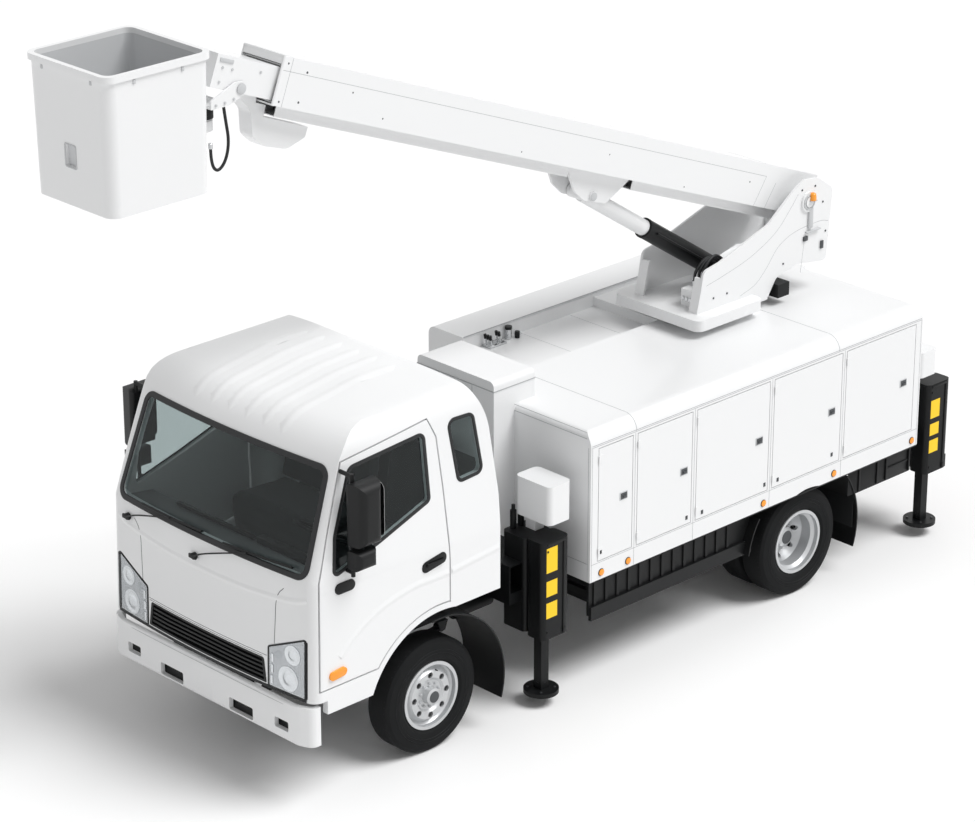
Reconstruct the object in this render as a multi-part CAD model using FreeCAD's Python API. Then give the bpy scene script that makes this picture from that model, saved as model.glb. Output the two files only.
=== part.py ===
"""Truck-mounted aerial work platform: a light cab-over truck with lockers, outriggers and a telescopic boom.

Lengths are millimetres. +X is the truck's left side, +Y points rearwards, +Z up, and Z = 0 is the ground.
Lengthwise places are first given as stations behind the bumper's face; every piece is moved to the
origin, the bottom centre of the whole truck, when it is written.
"""
import FreeCAD
import Part
import math
import os

V = FreeCAD.Vector
os.makedirs("parts", exist_ok=True)

# ---- driving dimensions -----------------------------------------------------------------------------
GAP = 6.0               # clearance between pieces that slide or swing past each other
RUN = 0.05              # radial running clearance of a pin in its bore

WHEELBASE = 3500.0
FRONT_AXLE_Y = 1134.0
REAR_AXLE_Y = FRONT_AXLE_Y + WHEELBASE
TYRE_R = 398.5
TYRE_W = 215.0
RIM_R = 222.0           # bead seat radius
FRONT_TRACK_X = 810.0   # middle of a front tyre
TWIN_PITCH = 240.0      # between the middles of twin tyres
REAR_TRACK_X = 762.0    # middle of a twin pair
KINGPIN_X = 700.0
KINGPIN_R = 18.0
SPINDLE_R = 30.0
REAR_SPINDLE_R = 45.0

RAIL_X = 385.0          # outer web of a frame rail
RAIL_H = 170.0
RAIL_FLANGE = 60.0
RAIL_T = 8.0
RAIL_TOP = 745.0
SPRING_X = 380.0
SPRING_W = 60.0
SPRING_SEAT = 432.0
SPRING_HALF = 560.0
ENGINE_Y = (FRONT_AXLE_Y - 434, FRONT_AXLE_Y + 366)
GEARBOX_REAR = ENGINE_Y[1] + 420
GEARBOX_Z = 650.0
NOSE_L = 330.0          # the axle's nose, ahead of the rear axle
SHAFT_R = 38.0

CAB_W = 2000.0
CAB_WALL = 45.0
CAB_REAR = 1660.0
CAB_ROOF = 2545.0
CAB_BELT = 1560.0       # where the windscreen starts
CAB_BROW = 2262.0       # where the windscreen's plane starts to round over into the roof
BROW_Y = 274.0
BROW_R = 300.0
SCREEN_LEAN = 70.0      # degrees above the level
ROOF_LEAN = 8.5
CAB_SILL = 650.0
CAB_APRON = 745.0       # lowest edge of the front panel
CAB_FLOOR = 1030.0      # underside behind the wheel arch
ARCH_R = 645.0
TILT_Y = 60.0
TILT_Z = 640.0
TILT_PIN_R = 6.0
TILT_CLEAR_Y = 145.0    # the rails are lower ahead of this, where the apron swings down
RAIL_FRONT_TOP = 700.0
DOOR_T = 38.0
DOOR_GAP = 12.0
DOOR_FRONT = 100.0
DOOR_REAR = 1215.0
DOOR_IN = 860.0         # the door lies outside this distance from the middle
GLASS_T = 6.0

BUMPER_TOP = 715.0
BUMPER_BOTTOM = 445.0
BUMPER_T = 30.0

BODY_W = 2100.0         # across the lockers
BODY_FRONT = 2440.0
BODY_REAR = 5830.0
RAIL_END = BODY_REAR + 420
BODY_BOTTOM = 820.0
BODY_TOP = 1900.0
RIGHT_TOP = 1940.0      # the narrow locker on the right is a little taller
BODY_T = 25.0
BODY_FLOOR = 950.0
TROUGH_RIGHT = -700.0
TROUGH_LEFT = -70.0
TROUGH_FLOOR = 1830.0
TROUGH_FRONT = 2950.0
TROUGH_REAR = 4250.0
LOCKER_DEPTH = 560.0
DOOR_HEAD = 1775.0      # top edge of the locker doors
LOCKER_DOOR_T = 22.0

COVER_X = (-410.0, 330.0)
COVER_Y = (2250.0, 2630.0)
COVER_TOP = 2100.0

SLEW_Y = 4750.0
PEDESTAL_HALF = 360.0
RING_R = 330.0
TURRET_BASE = 1960.0
TURRET_X = 300.0        # outer face of a turret cheek
TURRET_T = 16.0
TURRET_REAR = SLEW_Y + 270
SLAB_T = 80.0
BOOM_Y = 5400.0
BOOM_Z = 2600.0
BOOM_PIN_R = 40.0
BOOM_ANGLE = 21.2       # elevation at which it stands

BOOM_HALF_W = 190.0
BOOM_UP = 190.0         # top of the outer section above the pivot line
BOOM_DOWN = 120.0       # its underside below the pivot line
BOOM_WALL = 8.0
BOOM_STEP = 45.0        # the sliding sections are lower than the outer by this much more
TRAY_DOWN = 190.0       # underside of the cable tray below the pivot line
TRAY_HALF_W = 140.0
BOOM_ROOT = -165.0
BOOM_OUTER_END = 5200.0
BOOM_MID_START = 420.0
BOOM_INNER_START = 520.0
BOOM_TIP = 5700.0
LEVEL_S = 5470.0        # bucket levelling pin, along the boom
LEVEL_V = -60.0         # and above its pivot line
LEVEL_PIN_R = 22.0
GUIDE_HALF_W = 60.0     # hose guide under the boom's tip
GUIDE_GAP = 15.0        # between the guide and the outer section's underside

LIFT_Y = 4850.0         # lower pin of the lift cylinder
LIFT_Z = 2120.0
LIFT_S = 2050.0         # upper pin, along the boom
LIFT_DOWN = 285.0       # and below the pivot line
BARREL_R = 72.0
BARREL_L = 990.0
ROD_R = 58.0
ROD_L = 1455.0
ROD_EYE_R = 50.0
LIFT_PIN_R = 28.0
EAR_X = 92.0            # inner face of the plates that hold the rod's eye
EAR_L = 330.0           # half their length along the boom

BUCKET_W = 760.0
BUCKET_L = 780.0
BUCKET_FRONT = -886.0
BUCKET_BOTTOM = 4010.0
BUCKET_TOP = 4880.0
BUCKET_T = 20.0
BUCKET_CORNER = 75.0
SWIVEL_Y = 110.0
SWIVEL_R = 70.0

BEAM_W = 120.0          # outrigger beam along the truck
BEAM_H = 180.0
BEAM_Z = 830.0          # underside of the beams
BEAM_X = 850.0          # inner face of the leg housing
HOUSING = 160.0         # across the truck
HOUSING_W = 250.0       # along the truck
HOUSING_T = 10.0
HOUSING_BOTTOM = 510.0
HOUSING_TOP = 1215.0
GUARD_X = 620.0         # inner face of the fixed guard beside the housing
GUARD_TOP = 1200.0
LEG = 70.0
LEG_IN = 60.0           # leg's middle behind the housing's inner face
LEG_AHEAD = 35.0        # and ahead of the beam's middle
LEG_FOOT_Z = 80.0
LEG_TOP = 1150.0
FOOT_R = 120.0

# outrigger stations: (name, side, middle of the beam)
OUTRIGGERS = (
    ("front_left", 1, BODY_FRONT - 275),
    ("front_right", -1, BODY_FRONT - 435),
    ("rear_left", 1, BODY_REAR + 285),
    ("rear_right", -1, BODY_REAR + 135),
)
# white boxes over the outriggers: (side, inner face, front, length, bottom above the guard, height)
OUTRIGGER_COVERS = (
    (1, 660.0, BODY_FRONT - 317, 207.0, 110.0, 275.0),
    (-1, 660.0, BODY_FRONT - 477, 207.0, 110.0, 275.0),
    (1, 700.0, BODY_REAR + 83, 191.0, 85.0, 195.0),
    (-1, 700.0, BODY_REAR + 20, 191.0, 85.0, 195.0),
)
COVER_OUT = 985.0
CROSS_MEMBERS = (150.0, GEARBOX_REAR + 60, BODY_FRONT + 260, REAR_AXLE_Y - 1134, REAR_AXLE_Y - 434,
                 REAR_AXLE_Y + 566, RAIL_END - 70)
SKIRT_Y = (BODY_FRONT + 110, REAR_AXLE_Y - 484)     # lower rail and skirt between the axles
MUDGUARD_X = (600.0, 985.0)
REAR_MUDGUARD_X = (560.0, 1010.0)
PACK_Y = (BODY_FRONT + 240, BODY_FRONT + 1260)      # fuel tank along the truck
CROSS_WALL = 10.0
BUCKET_RIM = 14.0       # the rim stands out of the bucket's wall
TAIL_BAR = 40.0
LAMP_T = 35.0
ORIGIN_Y = (BUCKET_FRONT - BUCKET_RIM + RAIL_END + TAIL_BAR + LAMP_T) / 2


# ---- helpers ----------------------------------------------------------------------------------------
def box(x0, x1, y0, y1, z0, z1):
    return Part.makeBox(x1 - x0, y1 - y0, z1 - z0, V(x0, y0, z0))


def rod(start, direction, radius, length):
    return Part.makeCylinder(radius, length, V(*start), V(*direction))


def outline(points, place):
    """Closed wire through points (a, b) or (a, b, radius); place turns (a, b) into a vector."""
    n = len(points)
    starts = []
    ends = []
    mids = []
    for i in range(n):
        a = points[i]
        p = V(a[0], a[1], 0)
        radius = a[2] if len(a) > 2 else 0
        if not radius:
            starts.append(p)
            ends.append(p)
            mids.append(None)
            continue
        to_last = (V(points[i - 1][0], points[i - 1][1], 0) - p).normalize()
        to_next = (V(points[(i + 1) % n][0], points[(i + 1) % n][1], 0) - p).normalize()
        half = to_last.getAngle(to_next) / 2
        reach = radius / math.tan(half)
        bisector = (to_last + to_next).normalize()
        centre = p + bisector * (radius / math.sin(half))
        starts.append(p + to_last * reach)
        ends.append(p + to_next * reach)
        mids.append(centre - bisector * radius)
    edges = []
    for i in range(n):
        if mids[i] is not None:
            edges.append(Part.Arc(place(starts[i]), place(mids[i]), place(ends[i])).toShape())
        here = ends[i]
        there = starts[(i + 1) % n]
        if here.distanceToPoint(there) > 1e-6:
            edges.append(Part.LineSegment(place(here), place(there)).toShape())
    return Part.Wire(edges)


def side_prism(points, x0, x1):
    """Outline of (y, z) points, extruded from x0 to x1."""
    wire = outline(points, lambda p: V(x0, p.x, p.y))
    return Part.Face(wire).extrude(V(x1 - x0, 0, 0))


def front_prism(points, y0, y1):
    """Outline of (x, z) points, extruded from y0 to y1."""
    wire = outline(points, lambda p: V(p.x, y0, p.y))
    return Part.Face(wire).extrude(V(0, y1 - y0, 0))


def plan_prism(points, z0, z1):
    """Outline of (x, y) points, extruded from z0 to z1."""
    wire = outline(points, lambda p: V(p.x, p.y, z0))
    return Part.Face(wire).extrude(V(0, 0, z1 - z0))


def rounded(x0, x1, y0, y1, z0, z1, radius):
    """Box with its four upright edges rounded."""
    return plan_prism([(x0, y0, radius), (x1, y0, radius), (x1, y1, radius), (x0, y1, radius)], z0, z1)


def spun(points, x, y, z, side=1):
    """Outline of (distance outwards from x, radius) points spun about the line along X through y, z."""
    wire = outline(points, lambda p: V(x + side * p.x, y, z + p.y))
    return Part.Face(wire).revolve(V(x, y, z), V(1, 0, 0), 360)


def fused(shapes):
    shape = shapes[0]
    if len(shapes) > 1:
        shape = shape.fuse(shapes[1:])
    return shape.removeSplitter()


def mirrored(shape):
    return shape.mirror(V(0, 0, 0), V(1, 0, 0))


def both(shape):
    """The piece and its twin on the other side of the truck."""
    return Part.makeCompound([shape, mirrored(shape)])


PIECES = {}


def piece(name, shape):
    PIECES[name] = shape


def for_side(side, shape):
    return shape if side > 0 else mirrored(shape)


SIDES = (("left", 1), ("right", -1))
SLOPE = math.radians(BOOM_ANGLE)
ALONG = V(0, -math.cos(SLOPE), math.sin(SLOPE))
ABOVE = V(0, math.sin(SLOPE), math.cos(SLOPE))


def on_boom(s, v, x=0.0):
    """Point s along the boom from its pivot and v above the pivot line."""
    return V(x, BOOM_Y, BOOM_Z) + ALONG * s + ABOVE * v


def boom_prism(points, x0, x1):
    """Outline of (s, v) points in the boom's own side view, extruded from x0 to x1."""
    wire = outline(points, lambda p: on_boom(p.x, p.y, x0))
    return Part.Face(wire).extrude(V(x1 - x0, 0, 0))


def boom_box(s0, s1, v0, v1, x0, x1):
    return boom_prism([(s0, v0), (s1, v0), (s1, v1), (s0, v1)], x0, x1)


# ---- chassis ----------------------------------------------------------------------------------------
def frame_rail():
    web = box(RAIL_X - RAIL_T, RAIL_X, BUMPER_T, RAIL_END, RAIL_TOP - RAIL_H, RAIL_TOP)
    flanges = [box(RAIL_X - RAIL_FLANGE, RAIL_X, BUMPER_T, RAIL_END, z, z + RAIL_T)
               for z in (RAIL_TOP - RAIL_H, RAIL_TOP - RAIL_T)]
    front = box(0, RAIL_X + 1, 0, TILT_CLEAR_Y, RAIL_FRONT_TOP, RAIL_TOP + 1)
    pin = rod((RAIL_X - RAIL_T, TILT_Y, TILT_Z), (1, 0, 0), TILT_PIN_R, RAIL_T + 30)
    return fused([web, pin] + flanges).cut(front)


def spring_ends(axle_y):
    return (axle_y - SPRING_HALF, axle_y + SPRING_HALF)


SPRING_EYE_Z = SPRING_SEAT + 88.0
SPRING_EYE_R = 26.0


def chassis_frame():
    rail = frame_rail()
    parts = [rail, mirrored(rail)]
    inner = RAIL_X - RAIL_T
    for y in CROSS_MEMBERS:
        parts.append(box(-inner, inner, y, y + 60, RAIL_TOP - RAIL_H + RAIL_T, RAIL_TOP - RAIL_T))
    for axle_y in (FRONT_AXLE_Y, REAR_AXLE_Y):
        for y in spring_ends(axle_y):
            hanger = side_prism([(y - 45, RAIL_TOP - RAIL_H), (y + 45, RAIL_TOP - RAIL_H),
                                 (y + 20, SPRING_EYE_Z - 14), (y - 20, SPRING_EYE_Z - 14)],
                                SPRING_X + SPRING_W / 2, SPRING_X + SPRING_W / 2 + 10)
            plate = box(RAIL_X - RAIL_FLANGE, SPRING_X + SPRING_W / 2 + 10, y - 45, y + 45,
                        RAIL_TOP - RAIL_H - 8, RAIL_TOP - RAIL_H)
            side = fused([hanger, plate])
            parts += [side, mirrored(side)]
    mount = box(280, inner, FRONT_AXLE_Y - 84, FRONT_AXLE_Y + 16, 620, 680)
    parts += [mount, mirrored(mount)]
    for front_y, rear_y in ((OUTRIGGERS[1][2], OUTRIGGERS[0][2]), (OUTRIGGERS[3][2], OUTRIGGERS[2][2])):
        parts.append(cross_box(front_y, rear_y))
    parts += [guard(side, y) for _, side, y in OUTRIGGERS]
    hanger = box(RAIL_X - RAIL_FLANGE, RAIL_X, RAIL_END - 70, RAIL_END, 480, RAIL_TOP - RAIL_H)
    bar = box(-960, 960, RAIL_END, RAIL_END + TAIL_BAR, 480, 580)
    parts += [hanger, mirrored(hanger), bar, battery_box()]
    return fused(parts).cut(drive_shaft(SHAFT_R + 22))


def drive_shaft(radius):
    start = V(0, GEARBOX_REAR + 5, GEARBOX_Z)
    end = V(0, REAR_AXLE_Y - NOSE_L, TYRE_R)
    return rod(start, end - start, radius, (end - start).Length + 20)


def cross_box(front_y, rear_y):
    """Fixed tube across the rails in which two outrigger beams slide side by side."""
    half = BEAM_W / 2 + GAP
    x = BEAM_X - 40
    outer = box(-x, x, front_y - half - CROSS_WALL, rear_y + half + CROSS_WALL,
                RAIL_TOP, BEAM_Z + BEAM_H + GAP + CROSS_WALL)
    for y in (front_y, rear_y):
        outer = outer.cut(box(-x - 1, x + 1, y - half, y + half, BEAM_Z - GAP, BEAM_Z + BEAM_H + GAP))
    return outer


def guard(side, y):
    """Fixed cover round the end of a cross tube, open below, with a hole for the tube and its beam."""
    half = HOUSING_W / 2
    out = BEAM_X - GAP
    wall = 8.0
    shape = rounded(GUARD_X, out, y - half, y + half, HOUSING_BOTTOM + 10, GUARD_TOP, 40)
    shape = shape.cut(rounded(GUARD_X + wall, out - wall, y - half + wall, y + half - wall,
                              HOUSING_BOTTOM, GUARD_TOP - wall, 32))
    other = y - 155 * side
    low = min(y, other) - BEAM_W / 2 - GAP
    high = max(y, other) + BEAM_W / 2 + GAP
    shape = shape.cut(box(GUARD_X - 10, BEAM_X - 39, low - 5, high + 5, RAIL_TOP + 1, BEAM_Z + BEAM_H + GAP + 1))
    shape = shape.cut(box(GUARD_X - 10, BEAM_X, y - BEAM_W / 2 - GAP, y + BEAM_W / 2 + GAP,
                          BEAM_Z - GAP, BEAM_Z + BEAM_H + GAP))
    return for_side(side, shape)


def engine_block():
    block = rounded(-280, 280, ENGINE_Y[0], ENGINE_Y[1], 500, 990, 40)
    gearbox = rod((0, ENGINE_Y[1], GEARBOX_Z), (0, 1, 0), 140, GEARBOX_REAR - ENGINE_Y[1])
    return fused([block, gearbox])


def leaf_spring(axle_y):
    y0, y1 = spring_ends(axle_y)
    x0 = SPRING_X - SPRING_W / 2
    top = Part.Arc(V(x0, y0, SPRING_EYE_Z + 6), V(x0, axle_y, SPRING_SEAT + 48), V(x0, y1, SPRING_EYE_Z + 6))
    low = Part.Arc(V(x0, y1, SPRING_EYE_Z - 6), V(x0, axle_y, SPRING_SEAT - 3), V(x0, y0, SPRING_EYE_Z - 6))
    ends = [Part.LineSegment(top.EndPoint, low.StartPoint).toShape(),
            Part.LineSegment(low.EndPoint, top.StartPoint).toShape()]
    face = Part.Face(Part.Wire([top.toShape(), ends[0], low.toShape(), ends[1]]))
    parts = [face.extrude(V(SPRING_W, 0, 0))]
    for y in (y0, y1):
        parts.append(rod((x0, y, SPRING_EYE_Z), (1, 0, 0), SPRING_EYE_R, SPRING_W))
    return fused(parts)


def front_axle():
    """Drop beam with an eye for each kingpin."""
    web = 30.0
    half = front_prism([(0, 290), (420, 290), (560, 345), (KINGPIN_X, 350), (KINGPIN_X, 446),
                        (545, 440), (470, 430), (300, 430), (260, 380), (0, 380)],
                       FRONT_AXLE_Y - web, FRONT_AXLE_Y + web)
    pad = box(SPRING_X - 45, SPRING_X + 45, FRONT_AXLE_Y - 70, FRONT_AXLE_Y + 70, SPRING_SEAT - 22, SPRING_SEAT)
    eye = rod((KINGPIN_X, FRONT_AXLE_Y, TYRE_R - 50), (0, 0, 1), 36, 100)
    side = fused([half, pad, eye])
    side = side.cut(rod((KINGPIN_X, FRONT_AXLE_Y, TYRE_R - 60), (0, 0, 1), KINGPIN_R + RUN, 120))
    spring = leaf_spring(FRONT_AXLE_Y)
    return fused([side, mirrored(side), spring, mirrored(spring)])


def knuckle():
    """Left steering knuckle: fork round the axle's eye, kingpin, and spindle."""
    y = FRONT_AXLE_Y
    pin = rod((KINGPIN_X, y, TYRE_R - 92), (0, 0, 1), KINGPIN_R, 184)
    parts = [pin]
    for z in (TYRE_R + 52, TYRE_R - 92):
        lug = rod((KINGPIN_X, y, z), (0, 0, 1), 36, 40)
        link = box(KINGPIN_X, KINGPIN_X + 60, y - 36, y + 36, z, z + 40)
        parts += [lug, link]
    parts.append(box(KINGPIN_X + 42, KINGPIN_X + 62, y - 36, y + 36, TYRE_R - 92, TYRE_R + 92))
    parts.append(rod((KINGPIN_X + 60, y, TYRE_R), (1, 0, 0), SPINDLE_R, 100))
    return fused(parts)


def rear_axle():
    y = REAR_AXLE_Y
    tube = spun([(-690, 60), (-260, 60), (-150, 150), (0, 168), (150, 150), (260, 60), (690, 60),
                 (690, REAR_SPINDLE_R), (840, REAR_SPINDLE_R), (840, 0), (-840, 0),
                 (-840, REAR_SPINDLE_R), (-690, REAR_SPINDLE_R)], 0, y, TYRE_R)
    nose = rod((0, y - NOSE_L, TYRE_R), (0, 1, 0), 78, NOSE_L)
    shaft = drive_shaft(SHAFT_R)
    pads = [box(s * SPRING_X - 45, s * SPRING_X + 45, y - 70, y + 70, TYRE_R, SPRING_SEAT) for s in (-1, 1)]
    spring = leaf_spring(y)
    return fused([tube, nose, shaft, spring, mirrored(spring)] + pads)


# ---- wheels -----------------------------------------------------------------------------------------
def tyre_outline():
    """Half section of a tyre about its middle plane, as (across, radius)."""
    half = TYRE_W / 2
    side = [(half - 22, RIM_R), (half - 22, RIM_R + 15), (half - 6, RIM_R + 40), (half, RIM_R + 92),
            (half - 10, TYRE_R - 26), (half - 26, TYRE_R - 5), (half - 40, TYRE_R)]
    return side + [(-a, r) for a, r in reversed(side)]


def rim_barrel():
    """Section of the rim's barrel: bead seats, flanges and well, as (across, radius)."""
    half = TYRE_W / 2 - 22
    wall = 8.0
    lip = 14.0
    return [(-half, RIM_R), (-half + 28, RIM_R), (-half + 48, RIM_R - 22), (half - 48, RIM_R - 22),
            (half - 28, RIM_R), (half, RIM_R), (half, RIM_R + lip), (half + wall, RIM_R + lip),
            (half + wall, RIM_R - wall), (half - 24, RIM_R - wall), (half - 44, RIM_R - 22 - wall),
            (-half + 44, RIM_R - 22 - wall), (-half + 24, RIM_R - wall), (-half - wall, RIM_R - wall),
            (-half - wall, RIM_R + lip), (-half, RIM_R + lip)]


def hand_holes(x0, x1, y, z, count, ring, radius, turn=0.0):
    holes = []
    for i in range(count):
        a = 2 * math.pi * i / count + turn
        holes.append(rod((x0, y + ring * math.cos(a), z + ring * math.sin(a)), (1, 0, 0), radius, x1 - x0))
    return holes


def front_rim():
    """Left front rim with its disc, hub and brake drum."""
    x = FRONT_TRACK_X
    y = FRONT_AXLE_Y
    inner = RIM_R - 30
    barrel = spun(rim_barrel(), x, y, TYRE_R)
    disc = spun([(44, inner + 2), (70, inner - 16), (84, 165), (84, 120), (70, 104), (70, 0), (56, 0), (56, 104),
                 (72, 122), (72, 160), (56, inner - 20), (30, inner + 2)], x, y, TYRE_R)
    hub_x = KINGPIN_X + 68 - x
    hub = spun([(hub_x, SPINDLE_R + RUN), (hub_x, 150), (0, 150), (0, 80), (70, 80), (70, 62), (112, 56), (120, 40),
                (120, 0), (104, 0), (54, 0), (54, SPINDLE_R + RUN)], x, y, TYRE_R)
    disc = disc.cut(Part.makeCompound(hand_holes(x, x + 120, y, TYRE_R, 8, 142, 21)))
    return fused([barrel, disc, hub])


def rear_rim():
    """Left twin rims bolted back to back on one hub."""
    x = REAR_TRACK_X
    y = REAR_AXLE_Y
    inner = RIM_R - 30
    barrels = [spun(rim_barrel(), x + s * TWIN_PITCH / 2, y, TYRE_R) for s in (-1, 1)]
    face = [spun([(s * 14, 60), (s * 14, 150), (s * 52, inner - 14), (s * 78, inner + 2), (s * 60, inner + 2),
                  (s * 36, inner - 8), (0, 160), (0, 60)], x, y, TYRE_R) for s in (-1, 1)]
    hub = spun([(-60, REAR_SPINDLE_R + RUN), (-60, 140), (14, 140), (14, 78), (96, 72), (108, 50), (108, 0),
                (86, 0), (86, REAR_SPINDLE_R + RUN)], x, y, TYRE_R)
    shape = fused(face)
    shape = shape.cut(Part.makeCompound(hand_holes(x - 100, x + 100, y, TYRE_R, 8, 162, 18)))
    return fused(barrels + [shape, hub])


def wheels():
    front_tyre = spun(tyre_outline(), FRONT_TRACK_X, FRONT_AXLE_Y, TYRE_R)
    front_tyre = front_tyre.cut(spun([(-TYRE_W, 1), (TYRE_W, 1), (TYRE_W, RIM_R), (-TYRE_W, RIM_R)],
                                     FRONT_TRACK_X, FRONT_AXLE_Y, TYRE_R))
    rear_tyres = Part.makeCompound([spun(tyre_outline(), REAR_TRACK_X + s * TWIN_PITCH / 2, REAR_AXLE_Y, TYRE_R)
                                    for s in (-1, 1)])
    for name, side in SIDES:
        piece("tyre_front_" + name, for_side(side, front_tyre))
        piece("rim_front_" + name, for_side(side, front_rim()))
        piece("tyres_rear_" + name, for_side(side, rear_tyres))
        piece("rims_rear_" + name, for_side(side, rear_rim()))
        piece("knuckle_" + name, for_side(side, knuckle()))


# ---- cab --------------------------------------------------------------------------------------------
def cab_plan(t, y, z):
    """Plan outline of the cab, t inside its skin, with its nose at y and height z, as a face."""
    half = CAB_W / 2 - t
    nose = y + t
    rear = CAB_REAR + 400
    edge = 920 - 0.2 * t
    left = V(edge, nose + 48, z)
    right = V(-edge, nose + 48, z)
    front = Part.Arc(right, V(0, nose, z), left).toShape()
    corner_left = Part.Arc(left, V(half - 20, nose + 74, z), V(half, nose + 130, z)).toShape()
    corner_right = Part.Arc(V(-half, nose + 130, z), V(-half + 20, nose + 74, z), right).toShape()
    back = Part.makePolygon([V(half, nose + 130, z), V(half, rear, z), V(-half, rear, z), V(-half, nose + 130, z)])
    return Part.Face(Part.Wire([front, corner_left] + back.Edges + [corner_right]))


BELT_Y = 18.0


def nose_line(t):
    """Nose of the cab, t inside its skin, as (height, station of the middle of the nose less t)."""
    rows = [(CAB_SILL - 100, -8), (CAB_BELT, BELT_Y)]
    steps = 5
    for i in range(steps + 1):
        lean = math.radians(SCREEN_LEAN + (ROOF_LEAN - SCREEN_LEAN) * i / steps)
        first = math.radians(SCREEN_LEAN)
        y = BROW_Y + BROW_R * (math.sin(first) - math.sin(lean))
        z = CAB_BROW + BROW_R * (math.cos(lean) - math.cos(first))
        rows.append((z - t * math.cos(lean), y + t * (math.sin(lean) - 1)))
    rise = CAB_ROOF + 100 - rows[-1][0]
    rows.append((CAB_ROOF + 100, rows[-1][1] + rise / math.tan(math.radians(ROOF_LEAN))))
    return rows


def cab_form(t):
    """Outer form of the cab, t inside its skin, before any opening is cut."""
    shape = None
    rows = nose_line(t)
    for (z0, y0), (z1, y1) in zip(rows, rows[1:]):
        slab = cab_plan(t, y0, z0).extrude(V(0, y1 - y0, z1 - z0))
        shape = slab if shape is None else shape.fuse(slab)
    half = CAB_W / 2
    roof = CAB_ROOF - t
    rear = CAB_REAR - t
    low = CAB_SILL - 90
    side = side_prism([(-300, low), (-300, roof - 60), (275 + t, roof - 60, 90), (1440 - t * 0.6, roof, 180),
                       (1600 - t, 2230, 500), (rear, 1700, 500), (rear, low)], -1100, 1100)
    front = front_prism([(-half + t, low), (half - t, low), (half - t, 1480, 500), (half - 75 - t, roof - 80, 170),
                         (0, roof + 25, 3000), (-half + 75 + t, roof - 80, 170), (-half + t, 1480, 500)],
                        -300, CAB_REAR + 200)
    return shape.common(side).common(front)


def windscreen():
    """Curved sheet between the belt and the brow, from which the pane is cut."""
    (z0, y0), (z1, y1) = nose_line(0)[1:3]
    edge = 906.0
    sag = 48.0
    nose = y0 + 14
    back = nose + GLASS_T
    front = Part.Arc(V(-edge, nose + sag, z0), V(0, nose, z0), V(edge, nose + sag, z0))
    rear = Part.Arc(V(edge, back + sag, z0), V(0, back, z0), V(-edge, back + sag, z0))
    sides = [Part.LineSegment(front.EndPoint, rear.StartPoint).toShape(),
             Part.LineSegment(rear.EndPoint, front.StartPoint).toShape()]
    face = Part.Face(Part.Wire([front.toShape(), sides[0], rear.toShape(), sides[1]]))
    return face.extrude(V(0, y1 - y0, z1 - z0))


def door_outline(grow):
    """Side view of the door opening, widened by grow."""
    g = grow
    arch = ARCH_R + 45 - g
    low = 820.0
    start = FRONT_AXLE_Y - math.sqrt(arch ** 2 - (low - g - TYRE_R) ** 2)
    end = TYRE_R + math.sqrt(arch ** 2 - (DOOR_REAR + g - FRONT_AXLE_Y) ** 2)
    middle_a = math.radians(125)
    middle = (FRONT_AXLE_Y + arch * math.cos(middle_a), TYRE_R + arch * math.sin(middle_a))
    points = [(start, low - g), (DOOR_FRONT - g, low - g), (DOOR_FRONT + 12 - g, CAB_BELT), (200 - g, 1850),
              (350 - g, 2290 + g), (1085 + g * 0.4, 2362 + g), (1150 + g, 2230), (1183 + g, 1880),
              (DOOR_REAR + g, 1380), (DOOR_REAR + g, end)]
    return points, middle


def door_prism(grow, x0, x1):
    points, middle = door_outline(grow)
    vectors = [V(x0, y, z) for y, z in points]
    edges = Part.makePolygon(vectors).Edges
    edges.append(Part.Arc(vectors[-1], V(x0, *middle), vectors[0]).toShape())
    return Part.Face(Part.Wire(edges)).extrude(V(x1 - x0, 0, 0))


DOOR_WINDOW = ((235, 1570, 30), (640, 1690, 200), (1061, 1830, 30), (1045, 2281, 45), (415, 2236, 60),
               (262, 1830, 200))
REAR_WINDOW = ((1322, 1878, 40), (1526, 1891, 40), (1469, 2291, 45), (1259, 2300, 45))
WINDSCREEN = ((-905, 1585, 60), (905, 1585, 60), (862, 2232, 60), (-862, 2232, 60))
BACK_WINDOW = ((-560, 1750, 60), (560, 1750, 60), (560, 2180, 60), (-560, 2180, 60))
GRILLE = ((-585, 770, 10), (585, 770, 10), (560, 940, 20), (-560, 940, 20))
LAMP = ((590, CAB_APRON + 5), (940, CAB_APRON + 5), (940, 1190, 30), (590, 1040, 30))


def window_prism(points, x0, x1):
    return side_prism(points, x0, x1)


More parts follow.
